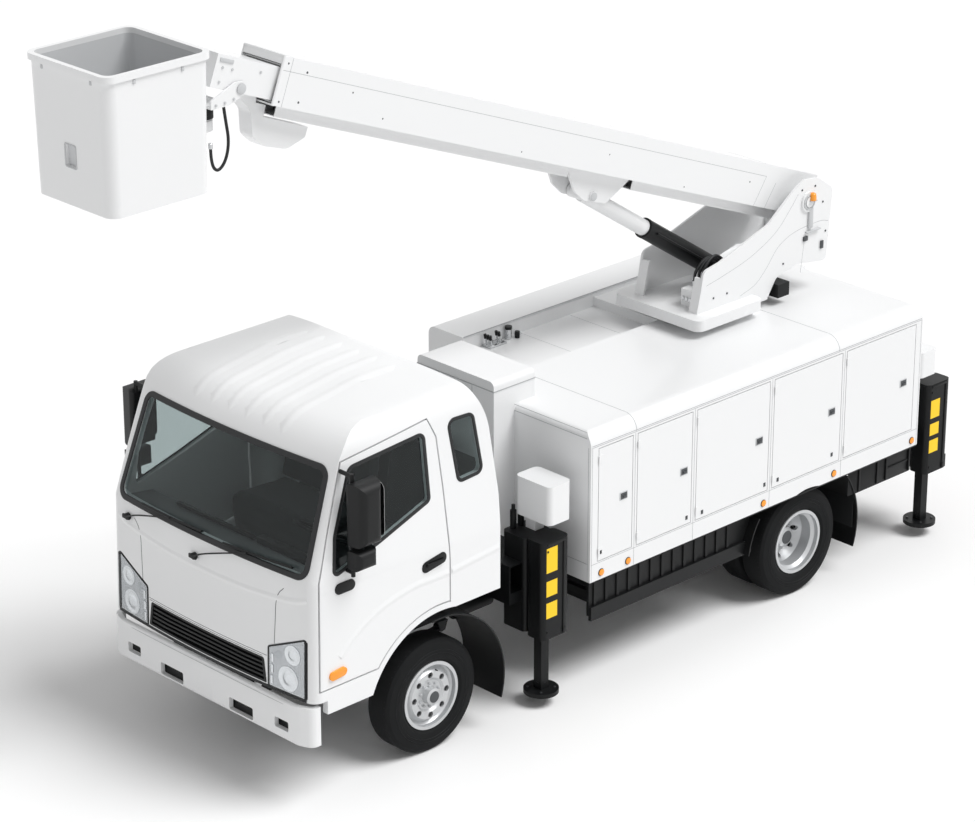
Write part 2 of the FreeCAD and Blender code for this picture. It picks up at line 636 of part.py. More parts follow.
def cab():
    skin = cab_form(0)
    inside = cab_form(CAB_WALL)
    floor_low = 790.0
    tunnel_x = 340.0
    rooms = [box(-1100, 1100, 0, 1800, CAB_FLOOR + 60, 2700), box(-1100, 1100, 0, 500, floor_low + 50, 1200)]
    for y, z in ((620, floor_low + 50), (760, 985)):
        well = box(tunnel_x + 40, 1100, 400, y, z, 1200)
        rooms += [well, mirrored(well)]
    shell = skin.cut(inside.common(fused(rooms)))
    for opening in (front_prism(WINDSCREEN, -100, 600), front_prism(BACK_WINDOW, 1400, 1800),
                    window_prism(REAR_WINDOW, -1100, 1100), front_prism(GRILLE, -100, 140)):
        shell = shell.cut(opening)
    shell = shell.cut([lamp_box(1), lamp_box(-1)])
    arch = rod((-1100, FRONT_AXLE_Y, TYRE_R), (1, 0, 0), ARCH_R, 2200)
    for below in (inside.common(box(-1100, 1100, -100, 1800, 400, floor_low)), arch,
                  box(-1100, 1100, FRONT_AXLE_Y, 1800, 400, CAB_FLOOR),
                  box(-1100, 1100, -100, 160, 400, CAB_APRON), box(-1100, 1100, -100, 1100, 400, CAB_SILL),
                  box(-RAIL_X - 65, RAIL_X + 65, 112, 1100, 400, floor_low),
                  box(-tunnel_x, tunnel_x, 660, 1800, 400, CAB_FLOOR)):
        shell = shell.cut(below)
    shell = shell.cut([door_prism(DOOR_GAP / 2, DOOR_IN, 1100), door_prism(DOOR_GAP / 2, -1100, -DOOR_IN)])
    rise = floor_low - TILT_Z
    arm = side_prism([(TILT_Y - 18, TILT_Z - 18, 16), (TILT_Y + 18, TILT_Z - 18, 12), (TILT_Y + rise + 60, floor_low),
                      (TILT_Y + rise - 30, floor_low), (TILT_Y - 18, TILT_Z + 12, 12)], RAIL_X + 6, RAIL_X + 28)
    arm = arm.cut(rod((RAIL_X, TILT_Y, TILT_Z), (1, 0, 0), TILT_PIN_R + RUN, 60))
    lug = box(RAIL_X + 6, RAIL_X + 65, 112, 300, floor_low, floor_low + 10)
    hinges = fused([arm, lug])
    shell = shell.fuse([hinges, mirrored(hinges)])
    piece("cab_shell", shell)

    glass_out = cab_form(14)
    glass_in = cab_form(14 + GLASS_T)
    windows = (front_prism(WINDSCREEN, -100, 600), front_prism(BACK_WINDOW, 1400, 1800),
               window_prism(REAR_WINDOW, 500, 1100), window_prism(REAR_WINDOW, -1100, -500))
    panes = [glass_out.common(window).cut(glass_in) for window in windows[1:]]
    panes.append(windscreen().common(windows[0]))
    piece("cab_glass", Part.makeCompound(panes))

    door = skin.cut(cab_form(DOOR_T)).common(door_prism(-DOOR_GAP / 2, DOOR_IN, 1100))
    door = door.cut(window_prism(DOOR_WINDOW, 600, 1100))
    door_pane = glass_out.common(window_prism(DOOR_WINDOW, 600, 1100)).cut(glass_in)
    for name, side in SIDES:
        piece("door_" + name, for_side(side, door))
        piece("door_glass_" + name, for_side(side, door_pane))
        piece("mirror_" + name, for_side(side, mirror()))

    lamp = skin.cut(inside).common(lamp_box(1))
    piece("headlamps", both(lamp))
    piece("grille", grille(skin))
    piece("dashboard", dashboard())
    piece("seats", seats())
    piece("steering_wheel", steering_wheel())


def lamp_box(side):
    return for_side(side, front_prism(LAMP, -100, 92))


def grille(skin):
    """Slatted grille in its opening, flush with the cab's skin."""
    opening = front_prism(GRILLE, -100, 140)
    band = skin.cut(cab_form(40)).common(opening)
    hollow = front_prism([(-560, 785, 8), (560, 785, 8), (540, 925, 12), (-540, 925, 12)], -100, 140)
    frame = band.cut(hollow)
    slats = [box(-580, 580, 12, 46, z, z + 14) for z in (800, 830, 860, 890)]
    back = box(-580, 580, 44, 50, 775, 935)
    body = fused([s.common(hollow) for s in slats] + [back.common(opening)])
    return fused([frame, body.common(cab_form(4))])


def mirror():
    """Left mirror: a tall rounded head and a small wide-angle one on a tube held at the door's front edge."""
    head = plan_prism([(1030, 290, 30), (1185, 320, 60), (1185, 480, 60), (1050, 510, 30)], 1785, 2200)
    head = head.common(front_prism([(1030, 1785, 50), (1185, 1785, 60), (1185, 2200, 70), (1030, 2200, 50)],
                                   0, 800))
    small = plan_prism([(1040, 290, 20), (1165, 300, 45), (1165, 450, 45), (1060, 470, 20)], 1630, 1755)
    small = small.common(front_prism([(1040, 1630, 40), (1165, 1630, 45), (1165, 1755, 45), (1040, 1755, 40)],
                                     0, 800))
    tube_r = 14.0
    tube_x = 1050.0
    tube_y = 345.0
    stem = rod((tube_x, tube_y, 1560), (0, 0, 1), tube_r, 690)
    feet = [rod((tube_x, tube_y, z), (-1, 0, 0), tube_r, inward) for z, inward in ((1585, 75), (2235, 150))]
    return fused([head, small, stem] + feet).cut(cab_form(0))


def dashboard():
    profile = side_prism([(0, 1150), (300, 1150, 40), (430, 1330, 40), (400, 1500, 60), (0, 1560)], -1000, 1000)
    body = cab_form(CAB_WALL).common(profile)
    column = rod(WHEEL_HUB - WHEEL_AXIS * 330, WHEEL_AXIS, 28, 300)
    tip = rod(WHEEL_HUB - WHEEL_AXIS * 40, WHEEL_AXIS, 12, 55)
    bracket = box(WHEEL_HUB.x - 30, WHEEL_HUB.x + 30, 380, 530, 1270, 1330)
    return fused([body, bracket, column, tip])


WHEEL_HUB = V(440, 640, 1540)
WHEEL_AXIS = V(0, 0.5, 0.8660254)
WHEEL_RING_R = 205.0


def steering_wheel():
    ring = Part.makeTorus(WHEEL_RING_R, 15, WHEEL_HUB + WHEEL_AXIS * 20, WHEEL_AXIS)
    hub = rod(WHEEL_HUB - WHEEL_AXIS * 20, WHEEL_AXIS, 50, 46)
    parts = [hub]
    across = V(1, 0, 0)
    up = WHEEL_AXIS.cross(across)
    for a in (0, 180, 270):
        d = across * math.cos(math.radians(a)) + up * math.sin(math.radians(a))
        parts.append(rod(WHEEL_HUB + WHEEL_AXIS * 8 + d * 40, d, 10, WHEEL_RING_R - 40))
    shape = fused(parts + [ring])
    return shape.cut(rod(WHEEL_HUB - WHEEL_AXIS * 50, WHEEL_AXIS, 12 + RUN, 67))


def seat(x0, x1):
    cushion = side_prism([(900, CAB_FLOOR + 60), (1380, CAB_FLOOR + 60), (1380, 1370, 40), (860, 1400, 60),
                          (860, 1260, 60)], x0, x1)
    back = side_prism([(1290, 1350), (1410, 1350), (1500, 2000, 40), (1400, 2010, 40)], x0 + 20, x1 - 20)
    return fused([cushion, back])


def seats():
    return Part.makeCompound([seat(210, 710), seat(-780, 130)])


def bumper():
    half = 985.0
    depth = 112.0
    outer = plan_prism([(-half, depth), (-half, 45, 60), (-880, 2, 200), (0, -6, 4000), (880, 2, 200),
                        (half, 45, 60), (half, depth)], BUMPER_BOTTOM, BUMPER_TOP)
    inner = plan_prism([(-half + BUMPER_T, depth + 1), (-half + BUMPER_T, 75, 40), (-860, BUMPER_T, 100),
                        (860, BUMPER_T, 100), (half - BUMPER_T, 75, 40), (half - BUMPER_T, depth + 1)],
                       BUMPER_BOTTOM - 1, BUMPER_TOP + 1)
    crown = side_prism([(-30, BUMPER_BOTTOM), (200, BUMPER_BOTTOM), (200, BUMPER_TOP), (2, BUMPER_TOP, 20),
                        (-8, BUMPER_TOP - 60, 60), (-8, BUMPER_BOTTOM + 30, 30), (6, BUMPER_BOTTOM)], -1100, 1100)
    shape = outer.cut(inner).common(crown)
    # openings: (middle, half width, low, high)
    for x, w, z0, z1 in ((345, 115, 462, 548), (735, 65, 505, 575)):
        for s in (-1, 1):
            shape = shape.cut(front_prism([(s * x - w, z0, 12), (s * x + w, z0, 12), (s * x + w, z1, 12),
                                           (s * x - w, z1, 12)], -60, 60))
    return shape


# ---- body behind the cab ------------------------------------------------------------------------------
# upright lines of the locker doors, front to rear
DOOR_LINES = (2490.0, 2860.0, 3440.0, 4220.0, 4980.0, 5780.0)
PILLAR = 20.0
HINGE_OUT = 6.0         # hinge axis outside the locker's side
HINGE_R = 5.0
HINGE_H = 55.0
RIGHT_LINES = (3440.0, 4980.0, 5780.0)


def locker_bays(lines, x0, x1):
    bays = []
    for y0, y1 in zip(lines, lines[1:]):
        bays.append(box(x0, x1, y0 + PILLAR, y1 - PILLAR, BODY_FLOOR + 5, DOOR_HEAD))
    return bays


def pedestal_box(grow=0.0):
    g = PEDESTAL_HALF + grow
    return box(-g, g, SLEW_Y - g, SLEW_Y + g, RAIL_TOP, BODY_TOP)


def cover_box():
    return box(COVER_X[0], COVER_X[1], COVER_Y[0], COVER_Y[1], RAIL_TOP, COVER_TOP)


def locker_left():
    half = BODY_W / 2
    outer = front_prism([(TROUGH_LEFT, BODY_BOTTOM), (half, BODY_BOTTOM), (half, BODY_TOP, 110),
                         (TROUGH_LEFT, BODY_TOP)], BODY_FRONT, BODY_REAR)
    top = side_prism([(BODY_FRONT, 0), (BODY_REAR, 0), (BODY_REAR, BODY_TOP, 60), (BODY_FRONT, BODY_TOP, 60)],
                     -half - 1, half + 1)
    shape = outer.common(top)
    inner_x = half - LOCKER_DEPTH
    shape = shape.cut(box(TROUGH_LEFT + BODY_T, inner_x - BODY_T, BODY_FRONT + BODY_T, BODY_REAR - BODY_T,
                          0, BODY_TOP - BODY_T))
    shape = shape.cut(box(inner_x, half - BODY_T, BODY_FRONT + BODY_T, BODY_REAR - BODY_T, 0, BODY_FLOOR - BODY_T))
    shape = shape.cut(Part.makeCompound(locker_bays(DOOR_LINES, inner_x, half + 10)))
    shape = shape.cut([pedestal_box(), cover_box(), rear_arch()])
    return shape


def rear_arch():
    return rod((-1100, REAR_AXLE_Y, TYRE_R), (1, 0, 0), TYRE_R + 40, 2200)


def locker_right():
    half = BODY_W / 2
    outer = front_prism([(-half, BODY_BOTTOM), (TROUGH_RIGHT, BODY_BOTTOM), (TROUGH_RIGHT, RIGHT_TOP, 20),
                         (-half, RIGHT_TOP, 60)], TROUGH_FRONT, BODY_REAR)
    inner_x = TROUGH_RIGHT - BODY_T
    shape = outer.cut(box(-half + BODY_T, inner_x, TROUGH_FRONT + BODY_T, BODY_REAR - BODY_T,
                          0, BODY_FLOOR - BODY_T))
    shape = shape.cut(Part.makeCompound(locker_bays(RIGHT_LINES, -half - 10, inner_x)))
    return shape.cut(rear_arch())


def deck():
    """Middle of the body: a trough beside the boom's path, and the deck behind it, round the pedestal."""
    shape = box(TROUGH_RIGHT, TROUGH_LEFT, TROUGH_FRONT, BODY_REAR, BODY_BOTTOM, BODY_TOP)
    shape = shape.cut(box(TROUGH_RIGHT, TROUGH_LEFT, TROUGH_FRONT - 10, TROUGH_REAR, TROUGH_FLOOR, BODY_TOP + 10))
    shape = shape.cut(box(TROUGH_RIGHT + BODY_T, TROUGH_LEFT - BODY_T, TROUGH_FRONT + BODY_T, TROUGH_REAR + BODY_T,
                          0, TROUGH_FLOOR - BODY_T))
    shape = shape.cut(box(TROUGH_RIGHT + BODY_T, TROUGH_LEFT - BODY_T, TROUGH_REAR + BODY_T, BODY_REAR - BODY_T,
                          0, BODY_TOP - BODY_T))
    return fused([shape.cut([pedestal_box(), rear_arch()]), pedestal()])


def pedestal():
    outer = pedestal_box()
    inner = box(-PEDESTAL_HALF + 20, PEDESTAL_HALF - 20, SLEW_Y - PEDESTAL_HALF + 20, SLEW_Y + PEDESTAL_HALF - 20,
                RAIL_TOP - 1, BODY_TOP - 30)
    ring = rod((0, SLEW_Y, BODY_TOP), (0, 0, 1), RING_R, TURRET_BASE - GAP - BODY_TOP)
    return fused([outer.cut(inner), ring])


def power_cover():
    shape = front_prism([(COVER_X[0], RAIL_TOP), (COVER_X[1], RAIL_TOP), (COVER_X[1], COVER_TOP, 40),
                         (COVER_X[0], COVER_TOP, 40)], COVER_Y[0], COVER_Y[1])
    inner = box(COVER_X[0] + 20, COVER_X[1] - 20, COVER_Y[0] + 20, COVER_Y[1] - 20, 0, COVER_TOP - 20)
    return shape.cut(inner)


def locker_door(y0, y1, side):
    """Door hung at its front edge on two small hinges."""
    half = BODY_W / 2
    edge = PILLAR + GAP
    parts = [box(half - LOCKER_DOOR_T, half, y0 + edge, y1 - edge, BODY_FLOOR + 5 + GAP, DOOR_HEAD - GAP)]
    for z in (BODY_FLOOR + 50, DOOR_HEAD - 110):
        axis_y = y0 + PILLAR + 2
        parts.append(rod((half + HINGE_OUT, axis_y, z), (0, 0, 1), HINGE_R, HINGE_H))
        parts.append(box(half, half + 3, axis_y + GAP, axis_y + 40, z, z + HINGE_H))
        parts.append(box(half + 1, half + HINGE_OUT, axis_y, axis_y + GAP + 1, z, z + HINGE_H))
    return for_side(side, fused(parts))


def outrigger_covers():
    """White box over each leg, on a post that stands on the guard."""
    shapes = []
    for side, x0, y0, length, gap, height in OUTRIGGER_COVERS:
        y1 = y0 + length
        z0 = GUARD_TOP + gap
        z1 = z0 + height
        cover = rounded(x0, COVER_OUT, y0, y1, z0, z1, 40)
        cover = cover.cut(rounded(x0 + 12, COVER_OUT - 12, y0 + 12, y1 - 12, z0 - 1, z1 - 12, 28))
        middle = (y0 + y1) / 2
        post = box(x0 + 40, BEAM_X - 60, middle - 40, middle + 40, GUARD_TOP, z1 - 6)
        shapes.append(for_side(side, fused([cover, post])))
    return Part.makeCompound(shapes)


def side_guards():
    """Left lower rail and ribbed skirt between the axles, and the mudguards of both axles."""
    y0, y1 = SKIRT_Y
    rail = box(935, 960, y0, y1, 470, 570)
    skirt = box(915, 935, y0, y1, 500, BODY_BOTTOM)
    pitch = 110.0
    ribs = [box(935, 945, y0 + 40 + pitch * i, y0 + 65 + pitch * i, 570, BODY_BOTTOM)
            for i in range(int((y1 - y0 - 65) / pitch))]
    parts = [rail, skirt] + ribs + [box(RAIL_X, 915, y, y + 40, 600, 650) for y in (y0 + 50, y1 - 70)]
    parts.append(mudguard(FRONT_AXLE_Y, 575, -18, 96, MUDGUARD_X))
    parts.append(mudguard(REAR_AXLE_Y, 600, -20, 38, REAR_MUDGUARD_X))
    parts.append(mudguard(REAR_AXLE_Y, 560, 144, 172, REAR_MUDGUARD_X))
    for axle_y, radius, angle in ((FRONT_AXLE_Y, 580, 30), (REAR_AXLE_Y, 605, 20)):
        a = math.radians(angle)
        start = (RAIL_X, axle_y + radius * math.cos(a), TYRE_R + radius * math.sin(a))
        parts.append(rod(start, (1, 0, 0), 12, 240))
    top_y = FRONT_AXLE_Y + 150
    top_z = TYRE_R + math.sqrt(580 ** 2 - 150 ** 2)
    parts.append(rod((RAIL_X + 4, top_y, top_z), (1, 0, 0), 12, 230))
    parts.append(box(RAIL_X, RAIL_X + 8, top_y - 20, top_y + 20, RAIL_TOP - 60, top_z + 14))
    return fused(parts)


def mudguard(axle_y, radius, a0, a1, across):
    """Curved guard behind or before a wheel, from angle a0 to a1 above the rearward level."""
    x0, x1 = across

    def at(r, a):
        a = math.radians(a)
        return V(x0, axle_y + r * math.cos(a), TYRE_R + r * math.sin(a))
    outer = radius + 10
    mid = (a0 + a1) / 2
    edges = [Part.Arc(at(radius, a0), at(radius, mid), at(radius, a1)).toShape(),
             Part.LineSegment(at(radius, a1), at(outer, a1)).toShape(),
             Part.Arc(at(outer, a1), at(outer, mid), at(outer, a0)).toShape(),
             Part.LineSegment(at(outer, a0), at(radius, a0)).toShape()]
    return Part.Face(Part.Wire(edges)).extrude(V(x1 - x0, 0, 0))


# ---- outriggers ---------------------------------------------------------------------------------------
def beam(side, y):
    """Outrigger beam with the housing of its leg at the outer end, which is open below."""
    half = BEAM_W / 2
    inner = -BEAM_X + 240
    arm = box(inner, BEAM_X, y - half, y + half, BEAM_Z, BEAM_Z + BEAM_H)
    arm = arm.cut(box(inner - 10, BEAM_X - 12, y - half + 10, y + half - 10, BEAM_Z + 10, BEAM_Z + BEAM_H - 10))
    out = BEAM_X + HOUSING
    t = HOUSING_T
    half = HOUSING_W / 2
    housing = rounded(BEAM_X, out, y - half, y + half, HOUSING_BOTTOM, HOUSING_TOP, 40)
    housing = housing.cut(rounded(BEAM_X + t, out - t, y - half + t, y + half - t,
                                  HOUSING_BOTTOM - 1, HOUSING_TOP - t, 30))
    bore = LEG / 2 + GAP
    x = BEAM_X + LEG_IN
    y -= LEG_AHEAD
    guide = box(x - bore - t, x + bore + t, y - bore - t, y + bore + t, HOUSING_BOTTOM, HOUSING_TOP - t / 2)
    guide = guide.cut(box(x - bore, x + bore, y - bore, y + bore, HOUSING_BOTTOM - 1, HOUSING_TOP - t))
    return for_side(side, fused([arm, housing, guide]))


def leg(side, y):
    x = BEAM_X + LEG_IN
    y -= LEG_AHEAD
    post = box(x - LEG / 2, x + LEG / 2, y - LEG / 2, y + LEG / 2, LEG_FOOT_Z + 30, LEG_TOP)
    foot = rod((x, y, LEG_FOOT_Z), (0, 0, 1), FOOT_R, 30)
    return for_side(side, fused([post, foot]))


# ---- turret and boom ----------------------------------------------------------------------------------
# cheek of the turret, as (station, height)
CHEEK = ((4250, TURRET_BASE + 20), (4316, 2344, 50), (4469, 2370, 60), (4976, 2527, 120), (5239, 2719, 90),
         (5350, 2775, 60), (5500, 2755, 60), (5665, 2640, 60), (5616, 2110, 30), (5560, 2110, 40), (5300, 2150, 60),
         (5080, 2100, 60), (5000, TURRET_BASE + 20))


def turret():
    front_y = SLEW_Y - 600
    top = TURRET_BASE + SLAB_T
    slab = plan_prism([(-415, front_y, 60), (415, front_y, 60), (415, SLEW_Y + 80, 60), (-415, SLEW_Y + 80, 60)],
                      TURRET_BASE, top)
    base = fused([slab, plan_prism([(-TURRET_X, SLEW_Y), (TURRET_X, SLEW_Y), (TURRET_X, TURRET_REAR, 40),
                                    (-TURRET_X, TURRET_REAR, 40)], TURRET_BASE, top)])
    flange = side_prism([(CHEEK[0][0], top - 5), (CHEEK[0][0] + 18, top - 5), (CHEEK[1][0] + 12, CHEEK[1][1] - 60),
                         (CHEEK[1][0] - 6, CHEEK[1][1] - 60)], TURRET_X - 80, TURRET_X)
    valves = box(BARREL_R + 13, TURRET_X - 60, SLEW_Y - 430, SLEW_Y - 230, top - 5, top + 125)
    x0 = TURRET_X - TURRET_T
    cheek = side_prism(CHEEK, x0, TURRET_X)
    boss = rod((x0 - 70, BOOM_Y, BOOM_Z), (1, 0, 0), 75, 70 + TURRET_T + 14)
    cheek = fused([cheek, boss])
    cheek = cheek.cut(rod((0, BOOM_Y, BOOM_Z), (1, 0, 0), BOOM_PIN_R + RUN, 500))
    lug = side_prism([(LIFT_Y - 110, TURRET_BASE + 20), (LIFT_Y - 62, LIFT_Z + 20, 40),
                      (LIFT_Y - 40, LIFT_Z + 62, 40), (LIFT_Y + 40, LIFT_Z + 62, 40), (LIFT_Y + 62, LIFT_Z + 20, 40),
                      (LIFT_Y + 110, TURRET_BASE + 20)], BARREL_R + GAP + 5, BARREL_R + GAP + 30)
    back = box(-x0, x0, BOOM_Y + 200, BOOM_Y + 216, TURRET_BASE + 170, TURRET_BASE + 340)
    shape = fused([base, cheek, mirrored(cheek), flange, mirrored(flange), lug, mirrored(lug), back, valves])
    return shape.cut(rod((-200, LIFT_Y, LIFT_Z), (1, 0, 0), LIFT_PIN_R + RUN, 400))


def turret_drive():
    y0 = TURRET_REAR
    motor = rod((90, y0 + 180, TURRET_BASE + 15), (0, 0, 1), 70, 120)
    block = box(60, TURRET_X + 40, y0 + 40, y0 + 160, TURRET_BASE, TURRET_BASE + 100)
    base = box(-200, 200, y0 + 2, y0 + 160, TURRET_BASE + 5, TURRET_BASE + 35)
    return fused([motor, block, base])


def boom_outer():
    w = BOOM_HALF_W
    t = BOOM_WALL
    tube = boom_box(BOOM_ROOT, BOOM_OUTER_END, -BOOM_DOWN, BOOM_UP, -w, w)
    hollow = boom_box(BOOM_ROOT + t, BOOM_OUTER_END + 10, -BOOM_DOWN + t, BOOM_UP - t, -w + t, w - t)
    tray = boom_box(BOOM_ROOT + 60, BOOM_OUTER_END - 90, -TRAY_DOWN, -BOOM_DOWN, -TRAY_HALF_W, TRAY_HALF_W)
    tray = tray.cut(boom_box(BOOM_ROOT + 40, BOOM_OUTER_END - 80, -TRAY_DOWN + 5, -BOOM_DOWN + 1,
                             -TRAY_HALF_W + 5, TRAY_HALF_W - 5))
    tray = tray.cut(boom_box(LIFT_S - EAR_L, LIFT_S + EAR_L, -TRAY_DOWN - 10, -BOOM_DOWN,
                             -TRAY_HALF_W - 5, TRAY_HALF_W + 5))
    ear = boom_prism([(LIFT_S - EAR_L, -BOOM_DOWN), (LIFT_S - 150, -LIFT_DOWN - 30, 50),
                      (LIFT_S + 70, -LIFT_DOWN - 40, 60), (LIFT_S + 190, -LIFT_DOWN + 10, 60),
                      (LIFT_S + EAR_L, -BOOM_DOWN)], EAR_X, EAR_X + 20)
    pin_stub = rod(on_boom(LIFT_S, -LIFT_DOWN, EAR_X + 20), (1, 0, 0), 34, 14)
    bosses = rod((-w - 8, BOOM_Y, BOOM_Z), (1, 0, 0), 62, 2 * w + 16)
    pin_x = TURRET_X + 22
    pin = rod((-pin_x, BOOM_Y, BOOM_Z), (1, 0, 0), BOOM_PIN_R, 2 * pin_x)
    shape = fused([tube.cut(hollow), tray, ear, mirrored(ear), pin_stub, mirrored(pin_stub), bosses, pin])
    return shape


def boom_section(start, end, step):
    """Tube that slides in the next larger one, step sections inside the outer."""
    shrink = step * (BOOM_WALL + GAP)
    w = BOOM_HALF_W - shrink
    up = BOOM_UP - BOOM_STEP - shrink
    down = -BOOM_DOWN + shrink
    t = BOOM_WALL
    tube = boom_box(start, end, down, up, -w, w)
    return tube.cut(boom_box(start - 10, end + 10, down + t, up - t, -w + t, w - t)), w, up, down


def boom_inner():
    tube, w, up, down = boom_section(BOOM_INNER_START, BOOM_TIP, 2)
    head = boom_box(BOOM_TIP - 10, BOOM_TIP, down, up, -w, w)
    bush = rod(on_boom(LEVEL_S, LEVEL_V, -w), (1, 0, 0), LEVEL_PIN_R + 20, 2 * w)
    shape = fused([tube, head, bush])
    shape = shape.cut(rod(on_boom(LEVEL_S, LEVEL_V, -300), (1, 0, 0), LEVEL_PIN_R + RUN, 600))
    end = BOOM_OUTER_END
    low = -TRAY_DOWN
    neck = -BOOM_DOWN - GUIDE_GAP
    guide = [(end + 210, down), (end + 30, low - 5, 60), (end - 35, low - 155, 60), (end - 140, low - 197, 100),
             (end - 340, low - 185, 110), (end - 465, low - 90, 30), (end - 465, low - 25), (end - 80, low - 20),
             (end - 75, neck), (end + 10, neck), (end + 20, down)]
    return fused([shape, boom_prism(guide, -GUIDE_HALF_W, GUIDE_HALF_W)])


def bucket_bracket():
    """Levelling fork at the boom's tip with the swivel post of the bucket."""
    _, w, up, down = boom_section(BOOM_INNER_START, BOOM_TIP, 2)
    pin = on_boom(LEVEL_S, LEVEL_V)
    x0 = w + GAP
    x1 = x0 + 14
    y = pin.y
    z = pin.z
    cheek = side_prism([(y + 48, z + 40, 35), (y - 40, z + 48, 35), (SWIVEL_Y - 68, z - 30, 20),
                        (SWIVEL_Y - 68, z - 85, 10), (SWIVEL_Y + 68, z - 85, 10), (y + 40, z - 38, 35)], x0, x1)
    post = rod((0, SWIVEL_Y, z - 190), (0, 0, 1), SWIVEL_R, 110)
    shelf = box(-x1, x1, SWIVEL_Y - 66, SWIVEL_Y + 66, z - 85, z - 65)
    axle = rod((-x1 - 6, y, z), (1, 0, 0), LEVEL_PIN_R, 2 * x1 + 12)
    swivel_pin = rod((0, SWIVEL_Y, z - 280), (0, 0, 1), 25, 100)
    return fused([cheek, mirrored(cheek), post, shelf, axle, swivel_pin])


def bucket_section(z, inset, wall):
    """Rounded rectangle of the bucket at height z, drawn in by inset and wall."""
    half = BUCKET_W / 2 - inset - wall
    y0 = BUCKET_FRONT + inset + wall
    y1 = BUCKET_FRONT + BUCKET_L - inset - wall
    r = BUCKET_CORNER - wall
    return outline([(-half, y0, r), (half, y0, r), (half, y1, r), (-half, y1, r)], lambda p: V(p.x, p.y, z))


def bucket():
    taper = 14.0
    outer = Part.makeLoft([bucket_section(BUCKET_BOTTOM, taper, 0), bucket_section(BUCKET_TOP, 0, 0)], True, True)
    inner = Part.makeLoft([bucket_section(BUCKET_BOTTOM + 30, taper, BUCKET_T),
                           bucket_section(BUCKET_TOP + 1, 0, BUCKET_T)], True, True)
    rim = Part.Face(bucket_section(BUCKET_TOP - 40, -BUCKET_RIM, 0)).extrude(V(0, 0, 40))
    rim = rim.cut(Part.Face(bucket_section(BUCKET_TOP - 41, 0, 4)).extrude(V(0, 0, 50)))
    shape = fused([outer, rim]).cut(inner)
    shape = shape.cut(front_prism([(-45, 4255, 8), (45, 4255, 8), (45, 4385, 8), (-45, 4385, 8)], BUCKET_FRONT - 20,
                                  BUCKET_FRONT + 60))
    pin_z = on_boom(LEVEL_S, LEVEL_V).z
    y1 = BUCKET_FRONT + BUCKET_L
    arm = box(-70, 70, y1 - 10, SWIVEL_Y, pin_z - 262, pin_z - 196)
    eye = rod((0, SWIVEL_Y, pin_z - 262), (0, 0, 1), 70, 66)
    back = box(-150, 150, y1 - 16, y1 + 25, pin_z - 360, pin_z - 110)
    shape = fused([shape, arm, eye, back]).cut(inner)
    return shape.cut(rod((0, SWIVEL_Y, pin_z - 400), (0, 0, 1), 25 + RUN, 300))


def lift_cylinder():
    low = V(0, LIFT_Y, LIFT_Z)
    high = on_boom(LIFT_S, -LIFT_DOWN)
    along = (high - low).normalize()
    length = (high - low).Length
    barrel = rod(low + along * 40, along, BARREL_R, BARREL_L - 40)
    eye = rod(V(-BARREL_R - 2, LIFT_Y, LIFT_Z), (1, 0, 0), 60, 2 * BARREL_R + 4)
    pin = rod(V(-BARREL_R - 45, LIFT_Y, LIFT_Z), (1, 0, 0), LIFT_PIN_R, 2 * BARREL_R + 90)
    barrel = barrel.cut(rod(low + along * 90, along, ROD_R + RUN, BARREL_L))
    piece("lift_barrel", barrel.fuse([eye, pin]))
    ram = rod(high - along * ROD_L, along, ROD_R, ROD_L)
    tip_half = EAR_X - GAP
    tip = rod(high - V(tip_half, 0, 0), (1, 0, 0), ROD_EYE_R, 2 * tip_half)
    ram = fused([ram.cut(rod(high - along * 20, along, ROD_R + 1, 30)), tip])
    ram = ram.cut(rod(high - V(EAR_X, 0, 0), (1, 0, 0), LIFT_PIN_R, 2 * EAR_X))
    piece("lift_rod", ram)
    return length


# ---- the whole truck ----------------------------------------------------------------------------------
def tail_lamps():
    lamp = box(600, 900, RAIL_END + TAIL_BAR, RAIL_END + TAIL_BAR + LAMP_T, 495, 565)
    return both(lamp)


def fuel_tank():
    y0, y1 = PACK_Y
    return side_prism([(y0, 490, 40), (y1, 490, 40), (y1, 790, 40), (y0, 790, 40)], -RAIL_X - 420, -RAIL_X)


def battery_box():
    return box(RAIL_X, RAIL_X + 400, PACK_Y[0] + 20, PACK_Y[0] + 520, 500, 780)


def build():
    piece("chassis_frame", chassis_frame())
    piece("engine_block", engine_block())
    piece("front_axle", front_axle())
    piece("rear_axle", rear_axle())
    piece("fuel_tank", fuel_tank())
    piece("side_guards", both(side_guards()))
    piece("bumper", bumper())
    piece("tail_lamps", tail_lamps())
    wheels()
    cab()
    piece("locker_left", locker_left())
    piece("locker_right", locker_right())
    piece("deck", deck())
    piece("power_cover", power_cover())
    piece("outrigger_covers", outrigger_covers())
    for i, (y0, y1) in enumerate(zip(DOOR_LINES, DOOR_LINES[1:])):
        piece("locker_door_left_%d" % (i + 1), locker_door(y0, y1, 1))
    for i, (y0, y1) in enumerate(zip(RIGHT_LINES, RIGHT_LINES[1:])):
        piece("locker_door_right_%d" % (i + 1), locker_door(y0, y1, -1))
    for name, side, y in OUTRIGGERS:
        piece("beam_" + name, beam(side, y))
        piece("leg_" + name, leg(side, y))
    piece("turret", turret())
    piece("turret_drive", turret_drive())
    piece("boom_outer", boom_outer())
    piece("boom_mid", boom_section(BOOM_MID_START, BOOM_OUTER_END - 25, 1)[0])
    piece("boom_inner", boom_inner())
    piece("bucket_bracket", bucket_bracket())
    piece("bucket", bucket())
    lift_cylinder()


